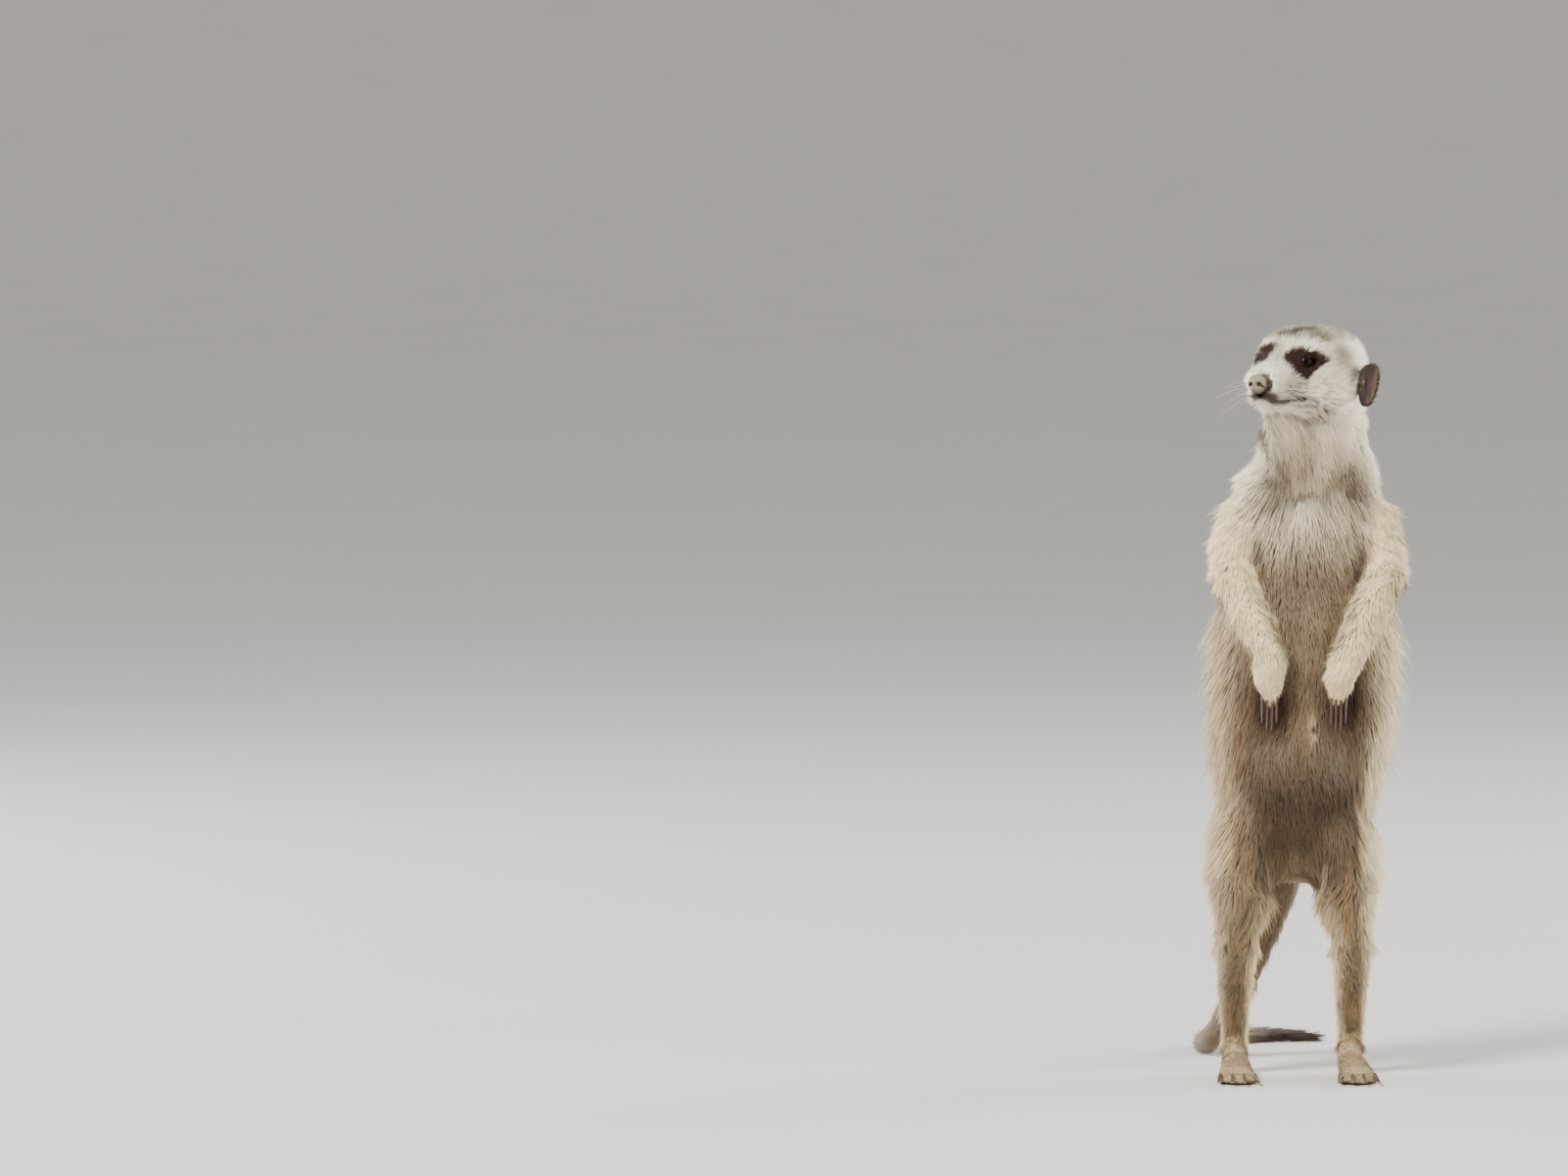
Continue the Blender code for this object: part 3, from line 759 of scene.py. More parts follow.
def nearest_node(points):
    """The index in FLESH of the node whose surface comes nearest. Ten evenly spaced places on each of its
    triangles stand for the surface, and the distances are worked out in blocks."""
    weights = np.array([(i, j, 3 - i - j) for i in range(4) for j in range(4 - i)]) / 3
    known = []
    for name in FLESH:
        corners = node_points(name)[triangle_corners(frame["nodes"][name].data)]
        spread = np.einsum("wk,tkx->twx", weights, corners).reshape(-1, 3)
        known.append(np.unique(spread.round(4), axis=0))
    owner = np.repeat(np.arange(len(FLESH)), [len(k) for k in known])
    known = np.concatenate(known).astype(np.float32)
    squares = (known**2).sum(1)
    found = [
        (squares - 2 * block.astype(np.float32) @ known.T).argmin(1)
        for block in np.array_split(points, len(points) // 1500 + 1)
    ]
    return owner[np.concatenate(found)]


# The parts that are marked alike.
GROUPS = {
    "head": ("head",),
    "neck": ("neck",),
    "trunk": ("trunk",),
    "arms": ("upper_arm", "forearm"),
    "paws": ("forepaw",),
    "legs": ("thigh", "shank"),
    "feet": ("hind_foot",),
    "tail": ("tail_base", "tail_middle", "tail_tip"),
}


def group_shares(shares):
    """The weight of each of GROUPS at each point, from the weights of the nodes of flesh."""
    kinds = [part_of(name) for name in FLESH]
    return np.stack([shares[:, np.isin(kinds, members)].sum(1) for members in GROUPS.values()], -1)


def lie_of_coat(points, normals, shares):
    """Which way the hair points: away from the nose on the head, down and outwards on the neck and trunk,
    along each limb and a little outwards on the arms, and along the tail. shares holds each node's weight
    at each point, and soft noise turns it a little."""
    outwards = unit((points - BACKBONE[1]) * (1, 1, 0))
    tail = shares["tail_base"] + shares["tail_middle"] + shares["tail_tip"]
    leans = [
        (shares["head"], unit(points - NOSE + UP * 0.004)),
        (shares["neck"], unit(DOWN + outwards * 0.30)),
        (shares["trunk"], unit(DOWN + outwards * 0.26)),
    ]
    for side, sign in SIDES.items():
        for parts, line, aside in (
            (("upper_arm", "forearm"), ARM[side], 0.45),
            (("forepaw",), ARM[side], 0.0),
            (("thigh", "shank"), LEG[side], 0.10),
            (("hind_foot",), FOOT[side], 0.0),
        ):
            share = sum(shares[f"{part}_{side}"] for part in parts)
            leans.append((share, along_line(points, line)[1] + np.array((sign * aside, 0, 0))))
    leans.append((tail, along_line(points, TAIL)[1]))
    swirl = np.stack([fractal(points, 0.022, 51 + k) - 0.5 for k in range(3)], -1)
    calm = 1 - 0.75 * shares["head"] - 0.8 * tail
    return unit(flattened(moved(np.zeros_like(points), *leans, (1.1 * calm, swirl)), normals))


def trunk_places(points):
    """How far each point is to the side of the middle line, as a share of half the body's width, and its
    height as a share of the whole."""
    height = points[:, 2]
    middle = np.interp(height, [HIPS[2], NECK[2]], [HIPS[0], NECK[0]])
    half = (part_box("trunk")[1][0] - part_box("trunk")[0][0]) / 2
    return (points[:, 0] - middle) / half, height / HEIGHT


def eye_axes(side):
    """The direction that an eye looks in, the one across it towards its outer corner, and up across it."""
    gaze = unit(FORWARD * 0.74 + LEFT * SIDES[side] * 0.67)
    outer = unit(LEFT * SIDES[side] - gaze * (LEFT * SIDES[side] @ gaze))
    return gaze, outer, UP


def in_eye(points, side):
    """Distances from an eye's middle along the gaze, towards its outer corner and up."""
    away = points - EYE[side]
    gaze, outer, up = eye_axes(side)
    return away @ gaze, away @ outer, away @ up


def opening_share(across, above, wide):
    """How far out a place is from the middle of the eye's opening, 1 at its edge: an almond, whose height
    is a share of its width and falls to almost nothing at the two corners."""
    high = wide * OPENING_TALL * np.sqrt(np.clip(1 - (across / (wide * 1.04)) ** 2, 0.02, 1)) ** 1.3
    slope = above - across * OPENING_SLANT
    return np.maximum(np.abs(across) / wide, np.sqrt((across / wide) ** 2 * 0.15 + (slope / high) ** 2))


def shape_face(points, normals):
    """Moves the skin of the face: the lids close over each eyeball and leave an almond open, the mouth is a
    groove under the muzzle between two swollen lips, and the skin draws in round the nose pad."""
    wide = bpy.context.scene.meerkat_sizes.eye_opening
    for side in SIDES:
        depth, across, above = in_eye(points, side)
        out = np.hypot(across, above)
        ball = np.sqrt(np.clip((EYE_RADIUS + LID_THICK) ** 2 - across**2 - above**2, 0.0000040, None))
        fade = 1 - ramp(out, 0.0038, 0.0062)
        lid = np.maximum(depth, mix(depth, ball, fade))
        held = np.where(opening_share(across, above, wide) < 1.06, ball - SOCKET_DEEP, lid)
        near = (out < 0.0095) & (depth > -0.001)
        points = moved(points, (np.where(near, held - depth, 0), eye_axes(side)[0]))
    away = points - NOSE
    collar = bell(distance(points, NOSE), 0.0053, 0.0013) * (away @ FORWARD > -0.004)
    aside = unit(away - (away @ FORWARD)[:, None] * FORWARD)
    points = moved(points, (-collar, aside * 0.0009 + FORWARD * 0.0012))
    ahead, _, up = in_face(points)
    lips = mouth_height(ahead)
    inside = ramp(ahead, MOUTH_BACK - 0.001, MOUTH_BACK + 0.002)
    groove = bell(up, lips, 0.0006) * inside * GROOVE_DEEP
    swell = bell(up, lips + 0.0017, 0.0012) + 0.8 * bell(up, lips - 0.0016, 0.0011)
    return moved(points, (swell * inside * LIP_HIGH - groove, normals))


def mouth_height(ahead):
    """Height of the line of the mouth: level at its corner, dipping below the pad of whiskers and rising
    steeply to the middle below the nose."""
    return -0.0157 - 0.0014 * bell(ahead, 0.0165, 0.0055) + 0.0022 * ramp(ahead, 0.0190, 0.0265)


class MEERKAT_OT_skin(bpy.types.Operator):
    """Makes the one skin that stands for all the parts of flesh, inside them by the depth of the coat."""

    bl_idname = "meerkat.skin"
    bl_label = "Skin"

    def execute(self, context):
        mesh = flesh_mesh()
        refine_head(mesh)
        ends = edge_ends(mesh)
        points = soften(vertex_places(mesh), ends, 12)
        node = nearest_node(points)
        kinds = [part_of(name) for name in FLESH]
        table = np.array([COATS[kind] for kind in kinds])[node]
        sharp = relax(np.eye(len(FLESH))[node], ends, 3)
        shares = relax(sharp, ends, 10)
        by_name = dict(zip(FLESH, shares.T))
        move_vertices(mesh, points)
        normals = vertex_normals(mesh)
        coat = relax(trunk_coat(points, normals, table, by_name), ends, 16)
        sunk = moved(points, (-coat[:, DEPTH] - FUSE, normals))
        sunk = soften(relax(sunk, ends, 2), ends, 3)
        sunk = shape_face(sunk, normals)
        move_vertices(mesh, sunk)
        normals = vertex_normals(mesh)
        lie = relax(lie_of_coat(points, normals, by_name), ends, 8)
        groups = group_shares(sharp)
        marks, pale_tip = markings(sunk + normals * coat[:, :1], normals, groups)
        # The skin counts as the roots of the hair, 0.1 of the way along, so the root shade darkens it:
        # painted shade in the gaps between tufts.
        strand = np.stack([np.full(len(sunk), 0.1), fractal(sunk, 0.004, 5), pale_tip], -1)
        set_values(mesh, coat=coat[:, 1:4], crowd=coat[:, 4], lie=unit(flattened(lie, normals)))
        set_values(mesh, part=node, groups=groups, marks=marks, strand=strand)
        mesh.shade_smooth()
        skin = new_object("skin", mesh)
        dress(skin, hair_material("meerkat_skin", 0.55, 0.25, 0.1, 0.0004))
        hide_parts(*FLESH)
        return {"FINISHED"}


def trunk_coat(points, normals, table, shares):
    """The coat's five numbers at each point: each part's own, then on the body the belly's is short and
    close, the flanks' long and standing off, and the back's long and lying down. Under the body, where the
    surface faces the floor, it is short, as it is round the eyes, the nose and the teats."""
    coat = table.copy()
    side, height = trunk_places(points)
    thighs = shares["thigh_left"] + shares["thigh_right"]
    body = shares["trunk"] + 0.5 * shares["neck"] + 0.6 * thighs
    front = ramp(-normals[:, 1], 0.35, 0.85) * body
    flank = ramp(np.abs(normals[:, 0]), 0.40, 0.90) * body
    flank = flank * ramp(height, 0.14, 0.34) * (1 - 0.85 * ramp(height, 0.64, 0.74))
    back = ramp(normals[:, 1], 0.2, 0.8) * body
    belly = front * (1 - ramp(height, 0.62, 0.76))
    under = ramp(-normals[:, 2], 0.25, 0.75) * (shares["trunk"] + thighs)
    crown = shares["head"] * ramp(normals[:, 2], 0.3, 0.8)
    throat = shares["neck"] * ramp(normals @ FORWARD, 0.25, 0.65) * ramp(height, 0.80, 0.86)
    coat[:, DEPTH] += flank * 0.0030 + back * 0.0014 - belly * 0.0022
    coat[:, DEPTH] -= throat * 0.0022
    coat[:, LONG] += flank * 0.0045 + back * 0.0030 - belly * 0.0062
    coat[:, LONG] += crown * 0.0010
    coat[:, LIFT] += flank * 17.0 - belly * 4.0
    coat[:, LIFT] += crown * 5.0 + throat * 14.0
    coat[:, WIDE] -= belly * 0.00014
    coat[:, :WIDE] *= (1 - 0.55 * under)[:, None]
    bare = spots(side, height, [(place, (0.07, 0.009)) for place in TEATS]) * belly
    eyes = sum(round_top(points, EYE[side], 0.0085) for side in SIDES)
    nose = round_top(points, NOSE, 0.0085)
    coat[:, LONG] *= 1 - np.clip(0.60 * bare + 0.42 * eyes + 0.35 * nose, 0, 0.7)
    return coat


# ---- markings


def eye_patch(points, side):
    """1 inside the dark patch round an eye: four quarters of rounded diamonds meet in it, and the outer
    ones are drawn out low and long towards the ear."""
    left = side == "left"
    depth, across, above = in_eye(points, side)
    above = above - 0.13 * np.abs(across)
    above = above if left else above + 0.0013
    outside, upper = across > 0, above > 0
    wide = np.where(outside, 0.0114, 0.0112 if left else 0.0108)
    high = np.where(upper, 0.0074, 0.0079) * (1.0 if left else 1.40)
    power = np.where(upper, np.where(outside, 1.20, 1.75), np.where(outside, 0.80, 1.22))
    edge = (np.abs(across) / wide) ** power + (np.abs(above) / high) ** power
    ragged = (clouds(points, 0.0013, 11) - 0.5) * 0.14
    return (1 - ramp(edge + ragged, 0.86, 1.10)) * (depth > -0.006)


# The dark dash over the brow, in the face's directions.
DASH = ((-0.0052, -0.0059, 0.0118), (-0.0066, 0.0008, 0.0130), (-0.0125, 0.0035, 0.0142))

# Places on the front of the body as trunk_places counts them, across and up, and reaches beside them.
TEATS = ((0.10, 0.466), (0.50, 0.470), (-0.21, 0.378))
PATCHES = (((-0.33, 0.800), (0.24, 0.030)), ((0.40, 0.793), (0.26, 0.032)), ((-0.42, 0.766), (0.2, 0.008)))
# Painted shade in the folds at the front of the neck and the top of the chest.
FOLD_SHADES = (((-0.05, 0.850), (0.14, 0.030)), ((-0.06, 0.815), (0.12, 0.018)))
# Painted shadows on the belly round the forepaws' claws.
PAW_SHADOWS = (((-0.37, 0.500), (0.25, 0.050)), ((0.42, 0.504), (0.25, 0.050)))
MOTTLES = (((0.36, 0.410), (0.20, 0.028)), ((-0.60, 0.355), (0.14, 0.030)))
BAND_APART = 0.0125


def blot(across, above, place, reach):
    """A soft spot of height 1: a bell over the distance from its place, in shares of its two reaches."""
    return bell(across, place[0], reach[0]) * bell(above, place[1], reach[1])


def spots(across, above, table):
    """The sum of the soft spots of a table of places and reaches."""
    return sum(blot(across, above, place, reach) for place, reach in table)


def round_top(points, middle, reach):
    """A soft ball of height 1 with a flat top: e to the minus fourth power of the distance in reaches."""
    return np.exp(-((distance(points, middle) / reach) ** 4))


def face_blot(points, ahead, left, up, reach):
    """A soft ball round a place given in the face's own directions."""
    away = points - face_point(ahead, left, up)
    return np.exp(-dot(away, away) / reach**2)


def face_pair(points, ahead, left, up, reach):
    """Two soft balls, one on each side of the face."""
    return sum(face_blot(points, ahead, sign * left, up, reach) for sign in SIDES.values())


def face_marks(points, head, neck):
    """White, grey, rust, brown and dark shares of the face: a white mask, a grizzled crown with a dark dash
    in front of it, brown temples, grey before the ears, stippled muzzle and cheeks, dark lips, a dark ring
    round the nose pad that is partly dark skin and partly painted shade, and painted shade in the crease
    of the jaw."""
    ahead, left, up = in_face(points)
    rough = fractal(points, 0.007, 61) - 0.5
    stipple = ramp(clouds(points * (1, 1, 1.5), 0.0012, 62), 0.46, 0.70)
    wide = np.clip(np.abs(left) - 0.008, 0, None)
    crown = head * ramp(up + rough * 0.006 + 0.16 * wide, 0.0098, 0.0120)
    hindhead = head * ramp(-ahead + rough * 0.010, 0.0300, 0.0400)
    crown = np.maximum(crown, hindhead)
    streak = np.array([face_point(*place) for place in DASH])
    dash = 1.15 * bell(distance(points, along_line(points, streak)[2]), 0, 0.0025)
    temple = face_pair(points, -0.011, 0.0205, 0.0030, 0.0055)
    before_ear = face_pair(points, -0.0165, 0.0225, -0.0050, 0.0040)
    bridge = face_blot(points, 0.0035, -0.0025, 0.0055, 0.0038)
    bridge = bridge + 0.6 * face_blot(points, 0.0100, 0, 0.002, 0.004)
    muzzle = face_pair(points, 0.010, 0.008, -0.0095, 0.0068)
    cheek = face_pair(points, -0.004, 0.0135, -0.0205, 0.0105)
    lips = bell(up, mouth_height(ahead) + 0.0002, 0.0011 + 0.0007 * ramp(ahead, 0.008, 0.020))
    lips = lips * ramp(ahead, MOUTH_BACK, MOUTH_BACK + 0.0025)
    philtrum = ramp(ahead, 0.0185, 0.0215) * bell(up, -0.0150, 0.0024) * (up < -0.0110)
    # Painted shade in the crease under the jaw, where the head meets the neck.
    jaw = ramp(ahead, -0.010, -0.002) * (head + neck) * ramp(left, -0.016, -0.008)
    crease = 4 * head * (1 - head) * jaw
    # A dark ring round the nose pad: partly dark skin, partly painted shade where the pad meets the fur.
    muzzle_tip = 1 - ramp(distance(points, NOSE), 0.0056, 0.0070)
    mouth = np.clip(lips + 0.85 * philtrum + 0.75 * muzzle_tip, 0, 1)
    grey = (
        crown * (0.55 + 0.25 * hindhead + 1.4 * rough)
        + 0.8 * dash
        + 0.75 * temple
        + 0.9 * before_ear
        + 0.80 * bridge
        + muzzle * (0.35 + 0.65 * stipple)
        + cheek * (0.15 + 0.85 * stipple)
        + 0.45 * head * np.clip(rough, 0, 1)
    )
    brown = (
        crown * (0.16 + 0.20 * hindhead + 0.45 * ramp(rough, -0.1, 0.2))
        + 0.55 * temple
        + 0.4 * cheek * stipple
        + 0.25 * bridge
    )
    dark = mouth * 0.92 + 0.95 * dash + 0.75 * (cheek + 0.8 * muzzle) * stipple
    dark = dark + 0.30 * crown * stipple + 0.55 * before_ear
    return {
        "white": head * (1 - 0.25 * crown - 0.35 * temple),
        "grey": np.clip(grey, 0, 0.92) * head,
        "rust": 0.22 * temple * head,
        "brown": np.clip(brown, 0, 1) * head + 0.75 * crease,
        "dark": np.clip(dark, 0, 1) * head,
    }


def markings(points, normals, groups):
    """The shares of MARKS at each point, and how pale the tips are. Each is a smooth function of the place
    on the body, broken up by soft noise. groups holds the weights of GROUPS."""
    head, neck, trunk, arms, paws, legs, feet, tail = groups.T
    rough = fractal(points, 0.016, 21) - 0.5
    fine = fractal(points * (1, 1, 0.35), 0.005, 31) - 0.5
    side, height = trunk_places(points)
    side, height = side + 0.10 * rough, height + 0.020 * rough
    outer = np.abs(side)
    face = face_marks(points, head, neck)
    body = trunk + neck
    front = ramp(-normals[:, 1] + rough * 0.4, 0.0, 0.5)
    back = ramp(normals[:, 1] + rough * 0.4, -0.15, 0.45)
    low = 1 - ramp(height, 0.66, 0.74)

    # Chest and arms
    chest = body * front * (1 - low)
    patches = spots(side, height, PATCHES)
    breast_line = blot(side, height, (-0.02, 0.742), (0.13, 0.026))
    # Painted shade in the folds at the front of the neck and the top of the chest.
    folds = spots(side, height, FOLD_SHADES)
    between = bell(height, 0.690, 0.045) * front * trunk * (1 - ramp(outer, 0.35, 0.65))
    # Painted shade in the armpits, where the arms meet the trunk.
    pits = bell(outer, 0.54 - 1.0 * np.abs(height - 0.70), 0.06) * bell(height, 0.680, 0.050) * trunk
    # Painted shade along the arms' inner edges, where they lie against the chest.
    arm_inner_shade = arms * ramp(-normals[:, 0] * np.sign(points[:, 0]), 0.50, 0.90)
    arm_inner_shade = arm_inner_shade * ramp(height, 0.55, 0.62)

    # Belly and groin
    belly = trunk * front * low
    # Painted shadow on the belly round the forepaws' claws.
    shade = spots(side, height, PAW_SHADOWS)
    teats = spots(side, height, [(place, (0.055, 0.0070)) for place in TEATS])
    pale = np.clip(1 - (shade + teats) * 2, 0, 1)
    halo = blot(side + 0.9 * (height - 0.466), height, (0.09, 0.464), (0.060, 0.020))
    groin = blot(side, height, (0.0, 0.300), (0.16, 0.040))
    mottles = spots(side, height, MOTTLES)
    bare_belly = belly * bell(height, 0.360, 0.075) * (1 - ramp(outer, 0.40, 0.75))
    inner_thigh = (trunk + legs) * blot(side, height, (0.36, 0.300), (0.22, 0.060)) * front

    # Flanks and legs
    flank = trunk * (1 - front * (1 - ramp(outer, 0.60, 0.85)))
    left_flank = ramp(-side, 0.50, 0.68) * (1 - 0.8 * ramp(-side, 1.0, 1.2))
    rust = (trunk + legs) * left_flank * bell(height, 0.400, 0.11) * np.clip(0.28 + 1.6 * fine, 0, 0.65)
    # Paler hair along the legs' sides and in streaks on their front: partly the hair's own pale edge, partly
    # painted rim light, weaker on the outer side that faces negative x.
    leg_pale_and_rim_light = ramp(np.abs(normals[:, 0]) + 0.5 * fine, 0.55, 0.80) + front * ramp(fine, 0.10, 0.22) * 0.5
    leg_pale_and_rim_light = legs * (1 - 0.65 * (normals[:, 0] < -0.3) * (side < 0)) * np.clip(leg_pale_and_rim_light, 0, 1)

    # Back, nape and tail
    saddle = trunk * back
    bands = 0.5 + 0.5 * np.sin((height * HEIGHT / BAND_APART + rough * 1.2) * 2 * np.pi)
    banded = saddle * ramp(bands, 0.52, 0.86) * bell(height, 0.46, 0.20)
    nape = (neck + 0.6 * head) * back
    tail_long = distance(TAIL[1:], TAIL[:-1]).sum()
    tail_end = tail * ramp(along_line(points, TAIL)[0] / tail_long + rough * 0.05, 0.80, 0.90)

    # The shares of the colours
    buff = flank * (0.85 - 0.4 * back) + legs * 0.35 + feet * 0.55 + tail * 0.20 + 0.25 * nape
    cream = (
        (arms * (0.96 - 0.7 * np.clip(fine, 0, 1)) + paws) * (1 - 0.5 * arm_inner_shade)
        # The flank towards positive x is creamier: partly pale hair, partly painted rim light.
        + flank * ramp(side, 0.62, 0.90) * 0.55
        + 0.85 * halo * belly
        + 0.6 * leg_pale_and_rim_light
        + 0.20 * feet
        + flank * ramp(fine, 0.08, 0.22) * 0.4 * (1 - back)
        + 0.30 * neck * front * bell(height, 0.86, 0.025)
    )
    white = face["white"] + neck * 0.90 * (1 - 0.8 * back) + chest * 0.55 + 0.30 * breast_line * body
    white = np.clip(white - 0.8 * halo * belly, 0, 1)
    grey = (
        face["grey"]
        + 0.24 * feet
        + nape * 0.50
        + chest * (1 - 0.6 * neck) * np.clip(0.44 + 1.8 * fine + 0.8 * rough, 0, 0.85)
        + patches * front
        + 0.45 * folds * body * front
        + between * 0.62
        + 0.5 * trunk * pits
        + belly * np.clip(0.22 + 1.2 * rough + 0.6 * mottles, 0, 0.8)
    )
    brown = (
        face["brown"]
        + belly * np.clip(0.80 + fine * 1.2 - 0.5 * mottles, 0, 1)
        + between * 0.25 * (1 - ramp(height, 0.66, 0.70))
        + legs * front * np.clip(0.80 + 1.5 * fine, 0, 1)
        + 0.3 * nape
        + tail * (1 - back) * 0.80
        + 0.15 * folds * body * front
        + flank * low * np.clip(2.4 * fine, 0, 0.7) * (1 - back)
    )
    brown = brown * (1 - halo * 0.9) * np.clip(pale + 0.6, 0, 1)
    dark = np.maximum.reduce(
        [
            face["dark"],
            *(eye_patch(points, s) * (head > 0.3) for s in SIDES),
            0.80 * patches * front * body * np.clip(0.60 + 2.4 * fine, 0.15, 1),
            0.75 * trunk * np.clip(pits, 0, 1),
            0.50 * arm_inner_shade,
            0.95 * belly * np.clip(shade * 1.35, 0, 1),
            0.95 * belly * np.clip(teats * 1.3, 0, 1),
            0.35 * groin * belly,
            0.72 * bare_belly,
            0.62 * inner_thigh,
            # Painted shade under the body, where the surface faces the floor.
            0.25 * ramp(-normals[:, 2], 0.3, 0.7) * trunk * low,
            0.75 * banded,
            0.15 * tail * (1 - back),
            0.95 * tail_end,
        ]
    )
    tick = 0.85 * saddle + 0.45 * tail * (1 - tail_end) + 0.5 * nape + 0.30 * head * back
    # Tips are pale on the flanks, more so towards positive x, where this is partly painted rim light.
    pale_tip = 0.06 + (0.42 + 0.15 * np.sign(side)) * flank * (1 - 0.8 * back)
    pale_tip = pale_tip + 0.35 * (arms + chest) + 0.40 * leg_pale_and_rim_light + 0.20 * saddle
    pale_tip = pale_tip * (1 - np.clip(dark, 0, 1))
    marks = np.stack([buff, cream, white, grey, brown, rust + face["rust"], dark, tick], -1)
    return np.clip(marks, 0, 1), np.clip(pale_tip, 0, 1)


# ---- coat


def sow(places, triangles, crowd, count, chance):
    """Roots spread evenly over triangles, as their three corners and the weights of these: the summed
    areas, weighted by crowd, are walked in equal steps with a small jitter, and each root falls at random
    in the triangle that it meets."""
    a, b, c = (places[triangles[:, k]] for k in range(3))
    area = np.linalg.norm(np.cross(b - a, c - a), axis=1) * crowd
    steps = (np.arange(count) + chance.random(count)) / count
    found = np.searchsorted(np.cumsum(area), steps * area.sum()).clip(0, len(area) - 1)
    root, share = np.sqrt(chance.random(count)), chance.random(count)
    return triangles[found], np.stack([1 - root, root * (1 - share), root * share], -1)


def tuft_points(roots, normals, lies, lengths, lifts, widths, turns, rings):
    """The corners of tufts: each is a three-sided spindle, whose path leaves the skin at its lift, bends
    down to a third of it and ends in a point; its sides are set by turns about the path."""
    across = unit(np.cross(normals, lies))
    place = moved(roots, (-lengths * 0.04, normals))
    angles = turns[:, None] + np.arange(3) * (2 * np.pi / 3) + np.pi / 2
    made = []
    before = 0.0
    for share, fat in (*(((0.0, 0.80), (RING_HIGH, 1.0)) if rings == 2 else ((0.0, 1.0),)), (1.0, 0.0)):
        rise = lifts * (1.0 - 0.65 * before)
        heading = moved(0, (np.cos(rise), lies), (np.sin(rise), normals))
        place = moved(place, (lengths * (share - before), heading))
        before = share
        if not fat:
            made.append(place[:, None])
            continue
        over = unit(np.cross(heading, across))
        side = moved(0, (np.cos(angles), across[:, None]), (0.55 * np.sin(angles), over[:, None]))
        made.append(place[:, None] + side * (widths * fat / 2)[:, None, None])
    return np.concatenate(made, 1)


def tuft_pattern(rings):
    """One tuft's triangles and, for each corner of them, its place on a unit patch and its share of the
    way to the tip. The lowest strip of the patch holds the hidden base."""
    low, high = 0.16, (0.16, 0.55)[rings - 1]
    faces, patch = [(0, 2, 1)], [(0.0, 0.0), (1.0, 0.0), (0.5, 0.14)]
    for k in range(3 * (rings - 1)):
        after, u, v = (k + 1) % 3, k / 3, (k + 1) / 3
        faces += [(k, after, after + 3), (k, after + 3, k + 3)]
        patch += [(u, low), (v, low), (v, high), (u, low), (v, high), (u, high)]
    base = 3 * (rings - 1)
    for k in range(3):
        faces.append((base + k, base + (k + 1) % 3, 3 * rings))
        patch += [(k / 3, high), ((k + 1) / 3, high), ((k + 0.5) / 3, 1.0)]
    along = np.repeat([0.0, RING_HIGH][:rings] + [1.0], [3] * rings + [1])
    return np.array(faces), np.array(patch), along


# The side of a tuft's patch on the unwrapped map, how far along a tuft its second ring stands, and how
# far along it covers the place whose marks it takes.
PATCH = 0.003
RING_HIGH = 0.42
COVERED = 0.6

# Guard hairs against the others: length, lift, width and paleness. The steepest lifts are in radians.
GUARD_LONG = 1.25
GUARD_RAISED = 1.30
GUARD_WIDE = 0.62
GUARD_PALE = 0.35
GUARD_MOST_LIFT = 0.74
MOST_LIFT = 0.62
FLOOR_GAP = 0.0002

# Of each coat: the rings of a tuft, the size of its clumps, how far the tips lean to their middles, the
# random turn, the share of guard hairs, the shade of the roots (partly the hair's own dark base, partly
# painted shade between tufts), how much tufts differ, their sheen, and how much of its own roundness a
# tuft shows.
Style = namedtuple("Style", "name rings clump pull stray guards root_shade variation sheen crisp")
SHORT_COAT = Style("face_coat", 1, 0.0016, 0.40, 0.13, 0.02, 0.72, 0.36, 0.04, 0.30)
SOFT_COAT = Style("soft_coat", 2, 0.0027, 0.62, 0.12, 0.08, 0.66, 0.32, 0.12, 0.36)
CLOSE_COAT = Style("close_coat", 2, 0.0020, 0.42, 0.10, 0.02, 0.75, 0.26, 0.08, 0.28)
LONG_COAT = Style("long_coat", 2, 0.0036, 0.95, 0.09, 0.16, 0.42, 0.44, 0.14, 0.40)
EAR_COAT = Style("ear_coat", 1, 0.0014, 0.35, 0.16, 0.03, 0.85, 0.30, 0.06, 0.35)


def unwrap_round(points, line, column, columns):
    """Unrolls a part about its middle line: the angle round it fills one column of the map, and the
    distance along it, with what lies past its ends, runs up."""
    along, direction, place = along_line(points, line)
    away = points - place
    upright = abs(line[-1] - line[0])[1] < 0.8 * np.ptp(line)
    first = unit(np.cross(direction, (0.0, 1.0, 0.0) if upright else (0.0, 0.0, 1.0)))
    second = np.cross(direction, first)
    turn = np.arctan2(dot(away, first), dot(away, second)) / (2 * np.pi) + 0.5
    run = along + dot(away, direction)
    run = (run - run.min()) / max(np.ptp(run), 1e-9)
    return np.stack([(column + 0.02 + 0.96 * turn) / columns, 0.01 + 0.98 * run], -1)


